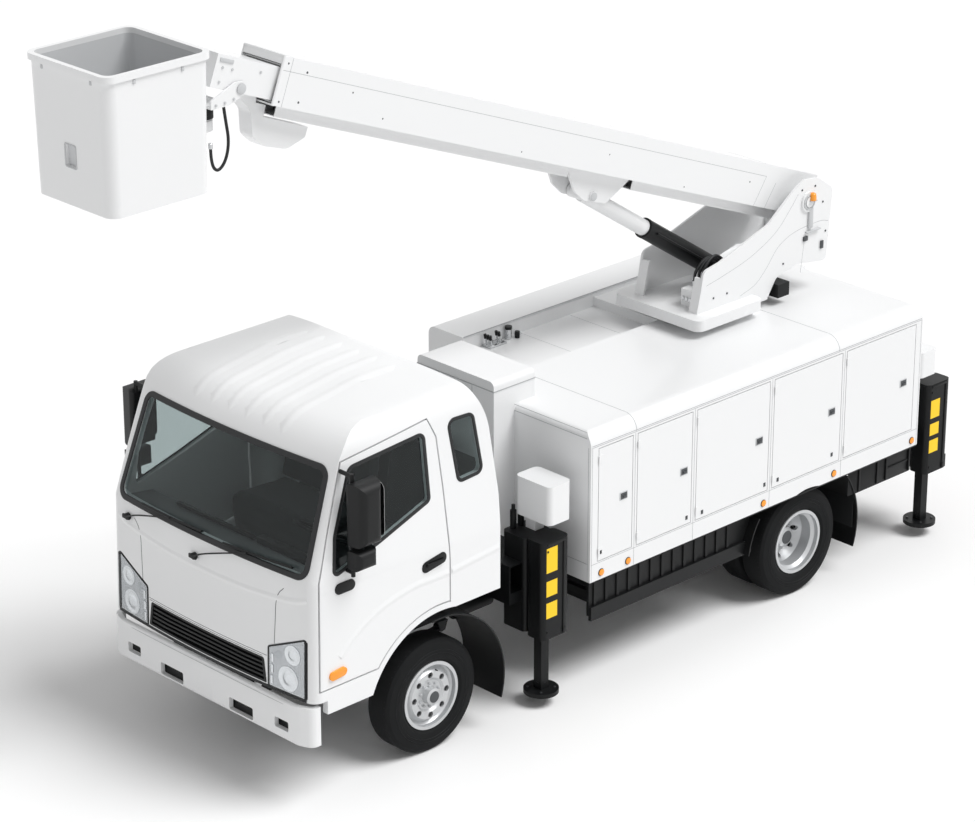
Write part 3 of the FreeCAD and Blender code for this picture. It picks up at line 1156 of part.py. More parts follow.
build()
for name, shape in PIECES.items():
    moved = shape.translated(V(0, -ORIGIN_Y, 0))
    moved.exportStep("parts/%s.step" % name)
    print("%-22s solids %2d valid %s volume %.4f m3 %s" % (
        name, len(moved.Solids), moved.isValid(), moved.Volume / 1e9,
        tuple(round(v) for v in (moved.BoundBox.XMin, moved.BoundBox.XMax, moved.BoundBox.YMin, moved.BoundBox.YMax,
                                 moved.BoundBox.ZMin, moved.BoundBox.ZMax))))
print(len(PIECES), "pieces")
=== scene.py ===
"""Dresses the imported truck: camera, materials, light and the detail that rides on the CAD bodies."""
import math
import bpy
import bmesh
from mathutils import Matrix, Vector
from mathutils.bvhtree import BVHTree


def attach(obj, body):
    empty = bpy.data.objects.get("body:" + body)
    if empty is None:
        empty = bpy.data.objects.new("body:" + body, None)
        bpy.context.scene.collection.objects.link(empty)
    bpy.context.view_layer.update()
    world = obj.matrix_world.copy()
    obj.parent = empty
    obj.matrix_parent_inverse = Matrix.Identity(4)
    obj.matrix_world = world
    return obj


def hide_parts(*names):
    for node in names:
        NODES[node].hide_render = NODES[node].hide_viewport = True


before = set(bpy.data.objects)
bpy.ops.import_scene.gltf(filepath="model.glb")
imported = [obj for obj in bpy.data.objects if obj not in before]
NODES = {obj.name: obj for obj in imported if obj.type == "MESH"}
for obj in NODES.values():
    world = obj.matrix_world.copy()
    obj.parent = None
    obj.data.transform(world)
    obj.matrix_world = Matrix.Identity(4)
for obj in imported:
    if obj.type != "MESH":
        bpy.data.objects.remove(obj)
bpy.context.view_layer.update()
ORIGIN_Y = 2712.5       # the CAD's origin, in stations behind the bumper's face (mm)
BOOM_Y = 5400.0
BOOM_Z = 2600.0
SLOPE = math.radians(21.2)


# ---- places ---------------------------------------------------------------------------------------
def at(x, y, z):
    """Point of the frame, in metres, from x, station and height in mm."""
    return Vector((x, y - ORIGIN_Y, z)) / 1000


def on_boom(s, v, x=0.0):
    """Point s along the boom and v above its pivot line, in mm."""
    y = BOOM_Y - s * math.cos(SLOPE) + v * math.sin(SLOPE)
    z = BOOM_Z + s * math.sin(SLOPE) + v * math.cos(SLOPE)
    return at(x, y, z)


ALONG = Vector((0, -math.cos(SLOPE), math.sin(SLOPE)))
ABOVE = Vector((0, math.sin(SLOPE), math.cos(SLOPE)))
X = Vector((1, 0, 0))
Y = Vector((0, 1, 0))
Z = Vector((0, 0, 1))
LEFT, RIGHT = 1, -1
SIDES = (("left", LEFT), ("right", RIGHT))


def tree_of(*names):
    """Tree of the named CAD bodies' faces, for rays to meet."""
    verts = []
    faces = []
    for name in names:
        mesh = NODES[name].data
        base = len(verts)
        verts += [v.co.copy() for v in mesh.vertices]
        faces += [[base + i for i in p.vertices] for p in mesh.polygons]
    return BVHTree.FromPolygons(verts, faces)


CAB_TREE = tree_of("cab_shell", "door_left", "door_right", "headlamps", "grille")


def cast(tree, start, direction):
    """(point, normal) where a ray meets the CAD's skin."""
    hit, normal, _, _ = tree.ray_cast(start, direction)
    if hit is None:
        raise ValueError("nothing at %s" % (start,))
    if normal.dot(direction) > 0:
        normal = -normal
    return hit, normal


def rounded_path(points, steps=6):
    """Closed outline through (a, b, radius) points with sampled corners, as (a, b) pairs."""
    out = []
    n = len(points)
    for i, (a, b, radius) in enumerate(points):
        p = Vector((a, b))
        if not radius:
            out.append(p)
            continue
        back = (Vector(points[i - 1][:2]) - p).normalized()
        ahead = (Vector(points[(i + 1) % n][:2]) - p).normalized()
        half = back.angle(ahead) / 2
        middle = p + (back + ahead).normalized() * radius / math.sin(half)
        start = p + back * radius / math.tan(half)
        end = p + ahead * radius / math.tan(half)
        a0 = start - middle
        turn = a0.angle_signed(end - middle)
        for k in range(steps + 1):
            out.append(middle + Matrix.Rotation(-turn * k / steps, 2) @ a0)
    return out


def refined(points, step, closed=False):
    """Points with more put in between, at most step apart (vectors of any size)."""
    out = []
    n = len(points)
    for i in range(n if closed else n - 1):
        a = points[i]
        b = points[(i + 1) % n]
        count = max(1, math.ceil((b - a).length / step))
        out += [a.lerp(b, k / count) for k in range(count)]
    return out if closed else out + [points[-1]]


def smooth_line(points, count=8):
    """Catmull-Rom line through the points."""
    pts = [points[0] * 2 - points[1]] + list(points) + [points[-1] * 2 - points[-2]]
    out = []
    for i in range(1, len(pts) - 2):
        p0, p1, p2, p3 = pts[i - 1:i + 3]
        for k in range(count):
            t = k / count
            out.append(((p1 * 2) + (p2 - p0) * t + (p0 * 2 - p1 * 5 + p2 * 4 - p3) * t * t
                        + (p1 * 3 - p0 - p2 * 3 + p3) * t ** 3) / 2)
    return out + [points[-1]]


# ---- materials ------------------------------------------------------------------------------------
PAINT_IOR = 1.45
COAT_ROUGHNESS = 0.08
GRAIN_DEPTH = 0.001      # full height of the grain, in metres
GRAIN_DETAIL = 4
PATCH_SCALE = 3.0        # patches of gloss per metre
PATCH_DETAIL = 5


def effect_group(name, numbers, result):
    """Node group with a Place input, named number inputs and one number output; its three ends."""
    tree = bpy.data.node_groups.new(name, "ShaderNodeTree")
    tree.interface.new_socket("Place", in_out="INPUT", socket_type="NodeSocketVector")
    for number in numbers:
        tree.interface.new_socket(number, in_out="INPUT", socket_type="NodeSocketFloat")
    tree.interface.new_socket(result, in_out="OUTPUT", socket_type="NodeSocketFloat")
    given = tree.nodes.new("NodeGroupInput")
    noise = tree.nodes.new("ShaderNodeTexNoise")
    tree.links.new(given.outputs["Place"], noise.inputs["Vector"])
    return tree, given, noise, tree.nodes.new("NodeGroupOutput")


def fine_grain():
    """Even fine grain of a given Scale, put out as a Height for a Bump node."""
    tree, given, noise, ready = effect_group("fine grain", ("Scale",), "Height")
    noise.inputs["Detail"].default_value = GRAIN_DETAIL
    tree.links.new(given.outputs["Scale"], noise.inputs["Scale"])
    tree.links.new(noise.outputs["Fac"], ready.inputs["Height"])
    return tree


def uneven_gloss():
    """Broad patches of Roughness between the Smoothest and the Roughest."""
    tree, given, noise, ready = effect_group("uneven gloss", ("Smoothest", "Roughest"), "Roughness")
    noise.inputs["Scale"].default_value = PATCH_SCALE
    noise.inputs["Detail"].default_value = PATCH_DETAIL
    spread = tree.nodes.new("ShaderNodeMapRange")
    tree.links.new(noise.outputs["Fac"], spread.inputs["Value"])
    tree.links.new(given.outputs["Smoothest"], spread.inputs["To Min"])
    tree.links.new(given.outputs["Roughest"], spread.inputs["To Max"])
    tree.links.new(spread.outputs["Result"], ready.inputs["Roughness"])
    return tree


FINE_GRAIN = fine_grain()
UNEVEN_GLOSS = uneven_gloss()


def placed(tree, group, place, **values):
    """The effect group in a material's tree, on the piece's own coordinates, with its own values."""
    node = tree.nodes.new("ShaderNodeGroup")
    node.node_tree = group
    tree.links.new(place.outputs["Object"], node.inputs["Place"])
    for name, value in values.items():
        node.inputs[name].default_value = value
    return node


def material(name, color, rough, metal=0.0, coat=0.0, bump=0.0, bump_scale=300.0, vary=0.0, sheen=0.0,
             spec=0.5):
    """Opaque finish, with grain where bump is given and patches of gloss where vary is."""
    mat = bpy.data.materials.new(name)
    mat.use_nodes = True
    tree = mat.node_tree
    shader = tree.nodes["Principled BSDF"]
    shader.inputs["Base Color"].default_value = (*color, 1)
    shader.inputs["Roughness"].default_value = rough
    shader.inputs["Metallic"].default_value = metal
    shader.inputs["IOR"].default_value = PAINT_IOR
    shader.inputs["Specular IOR Level"].default_value = spec
    shader.inputs["Coat Weight"].default_value = coat
    shader.inputs["Coat Roughness"].default_value = COAT_ROUGHNESS
    shader.inputs["Sheen Weight"].default_value = sheen
    if not (bump or vary):
        return mat
    place = tree.nodes.new("ShaderNodeTexCoord")
    if bump:
        grain = placed(tree, FINE_GRAIN, place, Scale=bump_scale)
        raised = tree.nodes.new("ShaderNodeBump")
        raised.inputs["Strength"].default_value = bump
        raised.inputs["Distance"].default_value = GRAIN_DEPTH
        tree.links.new(grain.outputs["Height"], raised.inputs["Height"])
        tree.links.new(raised.outputs["Normal"], shader.inputs["Normal"])
    if vary:
        gloss = placed(tree, UNEVEN_GLOSS, place, Smoothest=rough - vary, Roughest=rough + vary)
        tree.links.new(gloss.outputs["Roughness"], shader.inputs["Roughness"])
    return mat


WHITE = material("white paint", (0.83, 0.835, 0.84), 0.36, coat=0.2, vary=0.06)
BLACK = material("black frame paint", (0.006, 0.0065, 0.007), 0.42, spec=0.25, bump=0.15, bump_scale=120,
                 vary=0.1)
PLASTIC = material("black plastic", (0.007, 0.0075, 0.008), 0.45, spec=0.3, bump=0.25, bump_scale=900)
RUBBER = material("black rubber", (0.008, 0.009, 0.010), 0.55, bump=0.1, bump_scale=500)
TYRE = material("tyre rubber", (0.0055, 0.006, 0.0065), 0.7, spec=0.2, bump=0.3, bump_scale=260, vary=0.08)
LINE = material("panel gap", (0.10, 0.105, 0.11), 0.7)
FAINT = material("fold line", (0.42, 0.43, 0.44), 0.6)
SILVER = material("silver wheel paint", (0.56, 0.57, 0.58), 0.36, metal=0.55, coat=0.2, vary=0.08)
STEEL = material("bright steel", (0.62, 0.63, 0.64), 0.24, metal=1.0, vary=0.06)
DARK_STEEL = material("dark steel", (0.10, 0.105, 0.11), 0.38, metal=0.9, bump=0.1, bump_scale=200)
IRON = material("cast iron", (0.16, 0.165, 0.17), 0.6, metal=0.4, bump=0.5, bump_scale=160)
AMBER = material("amber lens", (0.95, 0.33, 0.01), 0.18, coat=0.6, bump=0.3, bump_scale=420)
RED = material("red lens", (0.55, 0.01, 0.01), 0.18, coat=0.6, bump=0.3, bump_scale=420)
YELLOW = material("yellow marking", (0.95, 0.62, 0.01), 0.5)
GREY = material("grey interior", (0.20, 0.205, 0.21), 0.62, bump=0.05, bump_scale=300)
FABRIC = material("seat cloth", (0.045, 0.046, 0.05), 0.9, sheen=0.4, bump=0.15, bump_scale=900)
REFLECTOR = material("lamp reflector", (0.82, 0.83, 0.84), 0.12, metal=1.0, bump=0.9, bump_scale=34)
LAMP_BODY = material("lamp housing", (0.52, 0.53, 0.54), 0.16, metal=1.0, bump=1.0, bump_scale=24)
MIRROR = material("mirror glass", (0.8, 0.8, 0.8), 0.03, metal=1.0)
LINER = material("bucket liner", (0.62, 0.63, 0.64), 0.6, bump=0.2, bump_scale=300)
PANEL = material("grey panel", (0.55, 0.56, 0.57), 0.45)


GLOSS_TINT = (0.50, 0.52, 0.52, 1)
GLASS_SHADE = (0.018, 0.021, 0.022, 1)
GLASS_IOR = 1.5


def glass_material(name, tint, clear):
    """Thin tinted pane: reflection over a see-through dark tint."""
    mat = bpy.data.materials.new(name)
    mat.use_nodes = True
    tree = mat.node_tree
    tree.nodes.remove(tree.nodes["Principled BSDF"])
    out = tree.nodes["Material Output"]
    gloss = tree.nodes.new("ShaderNodeBsdfGlossy")
    gloss.inputs["Color"].default_value = GLOSS_TINT
    gloss.inputs["Roughness"].default_value = 0.04
    see = tree.nodes.new("ShaderNodeBsdfTransparent")
    see.inputs["Color"].default_value = (*tint, 1)
    dark = tree.nodes.new("ShaderNodeBsdfDiffuse")
    dark.inputs["Color"].default_value = GLASS_SHADE
    body = tree.nodes.new("ShaderNodeMixShader")
    body.inputs["Fac"].default_value = clear
    fresnel = tree.nodes.new("ShaderNodeFresnel")
    fresnel.inputs["IOR"].default_value = GLASS_IOR
    mix = tree.nodes.new("ShaderNodeMixShader")
    tree.links.new(dark.outputs["BSDF"], body.inputs[1])
    tree.links.new(see.outputs["BSDF"], body.inputs[2])
    # only the outer face mirrors: seen from within, an unbent ray would be taken for total reflection
    facing = tree.nodes.new("ShaderNodeNewGeometry")
    front = tree.nodes.new("ShaderNodeMath")
    front.operation = "SUBTRACT"
    front.inputs[0].default_value = 1.0
    tree.links.new(facing.outputs["Backfacing"], front.inputs[1])
    share = tree.nodes.new("ShaderNodeMath")
    share.operation = "MULTIPLY"
    tree.links.new(fresnel.outputs["Fac"], share.inputs[0])
    tree.links.new(front.outputs["Value"], share.inputs[1])
    tree.links.new(share.outputs["Value"], mix.inputs["Fac"])
    tree.links.new(body.outputs["Shader"], mix.inputs[1])
    tree.links.new(gloss.outputs["BSDF"], mix.inputs[2])
    tree.links.new(mix.outputs["Shader"], out.inputs["Surface"])
    return mat


GLASS = glass_material("cab glass", (0.82, 0.86, 0.86), 0.92)
LENS = glass_material("clear lens", (0.97, 0.975, 0.98), 0.985)

CAD_MATERIALS = (
    (TYRE, ("tyre",)), (SILVER, ("rim", "rims")), (GLASS, ("cab_glass", "door_glass")),
    (IRON, ("engine_block",)), (RED, ("tail_lamps",)), (LAMP_BODY, ("headlamps",)), (FABRIC, ("seats",)),
    (GREY, ("dashboard",)),
    (PLASTIC, ("side_guards", "grille", "steering_wheel", "mirror")),
    (BLACK, ("chassis_frame", "front_axle", "rear_axle", "fuel_tank", "turret_drive", "lift_barrel",
             "knuckle", "beam", "leg")),
)
WELD_GAP = 0.00001       # metres between vertices of a CAD body's loose triangles that are one
CRISP_EDGE = math.radians(24)
for name, obj in NODES.items():
    chosen = WHITE
    for mat, starts in CAD_MATERIALS:
        if name.startswith(starts):
            chosen = mat
    obj.data.materials.clear()
    obj.data.materials.append(chosen)
    obj.data.shade_smooth()
    weld = obj.modifiers.new("weld", "WELD")
    weld.merge_threshold = WELD_GAP
    crisp = obj.modifiers.new("crisp", "EDGE_SPLIT")
    crisp.split_angle = CRISP_EDGE
    crisp.use_edge_sharp = False


# ---- making pieces --------------------------------------------------------------------------------
SAME_SPOT = 0.00001      # metres between vertices that an operator has put in one place


def verts_of(geom):
    """The vertices among an operator's results."""
    return [g for g in geom if isinstance(g, bmesh.types.BMVert)]


def frame_at(point, across, up, along):
    """Matrix that lays a section's own x and y on across and up, at point."""
    return Matrix.Translation(point) @ Matrix((across, up, along)).transposed().to_4x4()


class Build:
    """Collects shapes made with mesh operators into one piece."""

    def __init__(self):
        self.bm = bmesh.new()

    def line(self, points, closed=True):
        """Vertices at the points and the edges that join them."""
        verts = [self.bm.verts.new(p) for p in points]
        ahead = verts[1:] + verts[:1] if closed else verts[1:]
        return verts, [self.bm.edges.new(pair) for pair in zip(verts, ahead)]

    def soften(self, edges, bevel):
        """Rounds edges by bevel mm."""
        if bevel:
            bmesh.ops.bevel(self.bm, geom=edges, offset=bevel / 1000, segments=2, profile=0.5, affect="EDGES",
                            material=-1, clamp_overlap=True)
        return self

    def block(self, middle, axes, sizes, bevel=0.0):
        """Box about a middle point, along three directions, with sizes in mm."""
        a, b, c = [axis * size / 1000 for axis, size in zip(axes, sizes)]
        made = bmesh.ops.create_cube(self.bm, size=1, matrix=frame_at(middle, a, b, c))["verts"]
        return self.soften(list(dict.fromkeys(e for v in made for e in v.link_edges)), bevel)

    def box(self, x0, x1, y0, y1, z0, z1, bevel=0.0):
        """Box between two planes each way, in mm; the two x may come in either order."""
        middle = at((x0 + x1) / 2, (y0 + y1) / 2, (z0 + z1) / 2)
        return self.block(middle, (X, Y, Z), (abs(x1 - x0), y1 - y0, z1 - z0), bevel)

    def spin(self, profile, middle, axis, segments=32, closed=False):
        """Profile of (along, radius) points in mm turned about the axis through middle."""
        side = axis.orthogonal().normalized()
        verts, edges = self.line([middle + (axis * a + side * r) / 1000 for a, r in profile], closed)
        before = set(self.bm.verts) - set(verts)
        bmesh.ops.spin(self.bm, geom=verts + edges, cent=middle, axis=axis, angle=math.tau, steps=segments,
                       use_merge=True)
        made = [v for v in self.bm.verts if v not in before]
        bmesh.ops.remove_doubles(self.bm, verts=made, dist=SAME_SPOT)
        return self

    def disc(self, middle, axis, radius, depth, chamfer=1.0, segments=24):
        """Short round piece from middle along axis, depth long, with a chamfered outer end."""
        flat = depth - chamfer
        profile = ((0, 0), (0, radius), (flat, radius), (depth, radius - chamfer), (depth, 0))
        return self.spin(profile, middle, axis, segments)

    def rod(self, start, end, radius, segments=16):
        """Round bar between two points."""
        axis = end - start
        length = axis.length * 1000
        profile = ((0, 0), (0, radius), (length, radius), (length, 0))
        return self.spin(profile, start, axis.normalized(), segments)

    def carry(self, frames, section, closed=False):
        """Section of (x, y) points in mm extruded ring by ring, each ring laid on its own frame."""
        verts, edges = self.line([Vector((a, b, 0)) / 1000 for a, b in section])
        ends = [edges]
        rings = [verts]
        for _ in range(len(frames) if closed else len(frames) - 1):
            geom = bmesh.ops.extrude_edge_only(self.bm, edges=ends[-1])["geom"]
            ends.append([g for g in geom if isinstance(g, bmesh.types.BMEdge) and g.is_boundary])
            rings.append(verts_of(geom))
        for frame_here, ring in zip(frames + frames[:1], rings):
            bmesh.ops.transform(self.bm, matrix=frame_here, verts=ring)
        if closed:
            bmesh.ops.remove_doubles(self.bm, verts=rings[0] + rings[-1], dist=SAME_SPOT)
        else:
            bmesh.ops.edgeloop_fill(self.bm, edges=ends[0])
            bmesh.ops.edgeloop_fill(self.bm, edges=ends[-1])
        return self

    def sweep(self, points, normals, section, closed=False):
        """Section of (across, up) points in mm carried along points; up follows the normals."""
        n = len(points)
        frames = []
        for i, p in enumerate(points):
            before = points[i - 1] if i or closed else p
            after = points[(i + 1) % n] if i < n - 1 or closed else p
            along = (after - before).normalized()
            normal = normals[i] if isinstance(normals, list) else normals
            across = normal.cross(along).normalized()
            frames.append(frame_at(p, across, along.cross(across), along))
        return self.carry(frames, section, closed)

    def tube(self, points, radius, segments=10):
        """Round tube along a bent line."""
        last = len(points) - 1
        side = (points[1] - points[0]).orthogonal().normalized()
        frames = []
        for i, p in enumerate(points):
            along = (points[min(i + 1, last)] - points[max(i - 1, 0)]).normalized()
            side = (side - along * side.dot(along)).normalized()
            frames.append(frame_at(p, side, along.cross(side), along))
        turns = [math.tau * k / segments for k in range(segments)]
        return self.carry(frames, [(radius * math.cos(a), radius * math.sin(a)) for a in turns])

    def plate(self, outline, depth, bevel=0.0):
        """Flat outline extruded along depth (a vector in metres), its far rim rounded by bevel mm."""
        face = self.bm.faces.new([self.bm.verts.new(p) for p in outline])
        geom = bmesh.ops.extrude_face_region(self.bm, geom=[face])["geom"]
        bmesh.ops.translate(self.bm, vec=depth, verts=verts_of(geom))
        far = [g for g in geom if isinstance(g, bmesh.types.BMFace)][0]
        return self.soften(list(far.edges), bevel)

    def done(self, name, mat, body, smooth=35.0):
        """The finished piece on its body; smooth is the angle of its sharp edges, 0 for flat faces."""
        bmesh.ops.recalc_face_normals(self.bm, faces=list(self.bm.faces))
        mesh = bpy.data.meshes.new(name)
        self.bm.to_mesh(mesh)
        self.bm.free()
        mesh.materials.append(mat)
        if smooth:
            mesh.shade_smooth()
            mesh.set_sharp_from_angle(angle=math.radians(smooth))
        obj = bpy.data.objects.new(name, mesh)
        bpy.context.scene.collection.objects.link(obj)
        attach(obj, body)
        return obj


def band(width, height):
    """Low section with rounded shoulders for seals and strips."""
    w = width / 2
    shoulder = w * 0.7
    return ((-w, -1.0), (-w, height / 2), (-shoulder, height), (shoulder, height), (w, height / 2), (w, -1.0))


def bump_section(width, height):
    """Soft swelling that runs out to nothing at both edges."""
    steps = [k / 7 for k in range(8)]
    top = [((t - 0.5) * width, height * math.sin(math.pi * t) ** 2) for t in steps]
    return (*top, (width / 2, -2.0), (-width / 2, -2.0))


GAP_LINE = ((-2.2, -0.5), (-2.2, 0.5), (2.2, 0.5), (2.2, -0.5))
FAINT_LINE = ((-1.5, -0.4), (-1.5, 0.4), (1.5, 0.4), (1.5, -0.4))


# ---- the cab's skin -------------------------------------------------------------------------------
PANEL_FOOT = (550.0, -8.0)              # (height, station) of the front panel's foot
SCREEN_FOOT = (1560.0, 18.0)            # and of the windscreen's
BROW_FOOT = (2262.0, 274.0)             # where the arc that rounds into the roof starts
BROW_R = 300.0
BROW_FROM = math.radians(70.0)
BROW_TO = math.radians(8.5)
BROW_STEPS = 5
FRONT_R = 8841.0                        # radius of the front from side to side
FRONT_HALF = 920.0                      # half width where its corners start
CORNER_BEND = 0.011                     # how fast they fall back
CAB_HALF = 1000.0                       # half width of the cab up to its knee
KNEE_Z = 1470.0
SIDE_LEAN = 75 / 985                    # how far the side leans in above the knee


def brow_rows():
    """(height, station) of the cab's nose: front panel, windscreen, then the arc into the roof."""
    rows = [PANEL_FOOT, SCREEN_FOOT]
    for i in range(BROW_STEPS + 1):
        lean = BROW_FROM + (BROW_TO - BROW_FROM) * i / BROW_STEPS
        z = BROW_FOOT[0] + BROW_R * (math.cos(lean) - math.cos(BROW_FROM))
        y = BROW_FOOT[1] + BROW_R * (math.sin(BROW_FROM) - math.sin(lean))
        rows.append((z, y))
    return rows


NOSE = brow_rows()


def skin_front(x, z, lift=0.0):
    """Point of the cab's front skin, also over its openings."""
    for (z0, y0), (z1, y1) in zip(NOSE, NOSE[1:]):
        if z <= z1 or z1 == NOSE[-1][0]:
            nose = y0 + (y1 - y0) * (z - z0) / (z1 - z0)
            slope = (y1 - y0) / (z1 - z0)
            break
    over = max(0.0, abs(x) - FRONT_HALF)
    sag = x * x / (2 * FRONT_R) + over * over * CORNER_BEND
    normal = Vector((x / FRONT_R + math.copysign(2 * over * CORNER_BEND, x), -1, slope)).normalized()
    return at(x, nose + sag, z) + normal * lift / 1000, normal


def skin_side(y, z, side, lift=0.0):
    """Point of the cab's side skin."""
    x = CAB_HALF - max(0.0, z - KNEE_Z) * SIDE_LEAN
    normal = Vector((side, 0, SIDE_LEAN if z > KNEE_Z else 0)).normalized()
    return at(side * x, y, z) + normal * lift / 1000, normal


def on_front(pairs, lift=0.0):
    """Points and normals of the front's skin at (x, height) pairs, lifted by mm."""
    hits = [skin_front(p[0], p[1], lift) for p in pairs]
    return [h[0] for h in hits], [h[1] for h in hits]


def on_side(pairs, side, lift=0.0):
    """Points and normals of the side's skin at (station, height) pairs, lifted by mm."""
    hits = [skin_side(p[0], p[1], side, lift) for p in pairs]
    return [h[0] for h in hits], [h[1] for h in hits]


def front_ring(build, outline, section):
    """Section carried round an outline on the cab's front."""
    pairs = refined(rounded_path(outline, 10), 60.0, closed=True)
    points, normals = on_front(pairs)
    return build.sweep(points, normals, section, closed=True)


def side_ring(build, outline, section, side):
    """Section carried round an outline on the cab's side."""
    pairs = refined(rounded_path(outline, 8), 90.0, closed=True)
    points, normals = on_side(pairs, side)
    return build.sweep(points, normals, section, closed=True)


WINDSCREEN = ((-905, 1585, 60), (905, 1585, 60), (862, 2232, 60), (-862, 2232, 60))
DOOR_WINDOW = ((235, 1570, 30), (640, 1690, 200), (1061, 1830, 30), (1045, 2281, 45), (415, 2236, 60),
               (262, 1830, 200))
REAR_WINDOW = ((1322, 1878, 40), (1526, 1891, 40), (1469, 2291, 45), (1259, 2300, 45))
BACK_WINDOW = ((-560, 1750, 60), (560, 1750, 60), (560, 2180, 60), (-560, 2180, 60))
BACK_Y = 1655.0                         # station of the cab's back up to its knee
BACK_KNEE_Z = 1700.0
BACK_LEAN = 0.065                       # how far it leans forward above the knee


def grown(outline, by):
    """Outline with its points moved out from their middle by about by."""
    cx = sum(p[0] for p in outline) / len(outline)
    cy = sum(p[1] for p in outline) / len(outline)
    return [(a + math.copysign(by, a - cx), b + math.copysign(by, b - cy), r + by) for a, b, r in outline]


def arch(*half):
    """Smooth line through points given from the right end to the middle, and the same on the left."""
    right = [Vector((-x, z)) for x, z in half]
    left = [Vector(p) for p in half[-2::-1]]
    return smooth_line(right + left)


def cab_front():
    seals = Build()
    front_ring(seals, grown(WINDSCREEN, 6), band(40, 9))
    for _, side in SIDES:
        side_ring(seals, grown(REAR_WINDOW, 2), band(24, 5), side)
    pairs = refined(rounded_path(BACK_WINDOW, 8), 90.0, closed=True)
    back = [at(x, BACK_Y - max(0.0, z - BACK_KNEE_Z) * BACK_LEAN, z) for x, z in pairs]
    seals.sweep(back, Y, band(24, 12), closed=True)
    seals.done("cab_window_seals", RUBBER, "cab")

    wipers = Build()
    # pivot (x, z), elbow, middle of the blade, blade's ends
    for pivot, elbow, mid, ends in (((-800, 1462), (-640, 1530), (-330, 1602), ((-640, 1598), (-20, 1612))),
                                    ((-85, 1430), (60, 1500), (420, 1606), ((190, 1602), (800, 1622)))):
        base, normal = skin_front(*pivot)
        wipers.disc(base - normal * 0.002, normal, 24, 26, 4)
        wipers.block(base + normal * 0.022, (X, normal, X.cross(normal)), (70, 16, 30), 5)
        arm = smooth_line([skin_front(*pivot, 30)[0], skin_front(*elbow, 34)[0], skin_front(*mid, 30)[0]], 6)
        wipers.tube(arm, 5.5, 8)
        start, end = [Vector(p) for p in ends]
        points, normals = on_front([start.lerp(end, k / 12) for k in range(13)], 14)
        wipers.sweep(points, normals, ((-3, -16), (-9, 4), (-5, 10), (5, 10), (9, 4), (3, -16)))
    wipers.done("wipers", PLASTIC, "cab")

    lines = Build()
    hood = arch((880, 1425), (760, 1385), (420, 1352), (0, 1345))
    lines.sweep(*on_front(hood, 0.3), FAINT_LINE)
    for s in (-1, 1):
        spots = ((735, 1470), (690, 1420), (668, 1350), (662, 1250), (656, 1140), (652, 1066))
        seam = smooth_line([Vector((s * x, z)) for x, z in spots], 6)
        lines.sweep(*on_front(seam, 0.3), GAP_LINE)
    for z, half in ((962, 585), (948, 580)):
        shelf = [Vector((x, z)) for x in range(-half, half + 1, 45)]
        lines.sweep(*on_front(shelf, 0.3), FAINT_LINE)
    lines.done("cab_front_lines", LINE, "cab")

    ridge = Build()
    fold = arch((930, 1440), (780, 1400), (420, 1368), (0, 1360))
    ridge.sweep(*on_front(fold), bump_section(46, 5))
    ridge.done("cab_front_fold", WHITE, "cab", 60)

    apron = Build()
    foot = [Vector((x, 754)) for x in range(-930, 931, 30)]
    apron.sweep(*on_front(foot), band(20, 3))
    apron.done("cab_apron_seal", RUBBER, "cab")


def headlamps():
    rims = Build()
    bowls = Build()
    lenses = Build()
    for s in (-1, 1):
        outline = ((s * 600, 760, 14), (s * 930, 760, 20), (s * 930, 1176, 20), (s * 600, 1032, 20))
        front_ring(rims, outline, band(12, 4))
        strip = [(s * 925, z) for z in range(770, 1161, 30)]
        rims.sweep(*on_front(strip, 1), band(26, 3))
        for x, z, r in ((775, 862, 84), (812, 1035, 66)):
            base, normal = skin_front(s * x, z)
            rim = ((-1, r), (5, r), (6, r - 5), (3, r - 16))
            bulb = ((1, r * 0.55), (4, r * 0.5), (6, r * 0.3), (6, 0))
            bowls.spin(rim + bulb, base, normal, 32)
        for k in range(3):
            row = [(s * (628 + 4 * k), 785 + 76 * k + rise) for rise in (0, 28, 56)]
            bowls.sweep(*on_front(row, 2), band(22, 4))
        base, normal = skin_front(s * 690, 1000)
        lenses.spin(((-1, 28), (5, 28), (9, 18), (10, 0)), base, normal, 24)
        corners = ((s * 606, 766, 12), (s * 924, 766, 16), (s * 924, 1168, 16), (s * 606, 1030, 16))
        lenses.plate(on_front(rounded_path(corners, 5), 9)[0], Y * -0.002)
    rims.done("headlamp_bezels", PLASTIC, "cab")
    bowls.done("headlamp_bowls", REFLECTOR, "cab", 60)
    lenses.done("turn_lamps", LENS, "cab", 60)


def roof_ribs():
    ribs = Build()
    for x in (-420, -252, -84, 84, 252, 420):
        hits = [cast(CAB_TREE, at(x, y, 3200), -Z) for y in range(300, 1291, 55)]
        points = [h[0] for h in hits]
        normals = [h[1] for h in hits]
        for i in (0, -1):
            points[i] -= normals[i] * 0.010
        ribs.sweep(points, normals, bump_section(104, 9))
    ribs.done("roof_ribs", WHITE, "cab", 60)


def pressing(name, mat, door, side, corners, height, bevel):
    """Low plate with round corners on the cab's side, at (station, height, radius) corners."""
    piece = Build()
    piece.plate(on_side(rounded_path(corners), side, -1)[0], X * side * height / 1000, bevel)
    piece.done(name, mat, door)


def crease(name, body, side, run):
    """Soft fold pressed out along a run of (station, height) points."""
    piece = Build()
    piece.sweep(*on_side(run, side), bump_section(60, 6))
    piece.done(name, WHITE, body, 60)


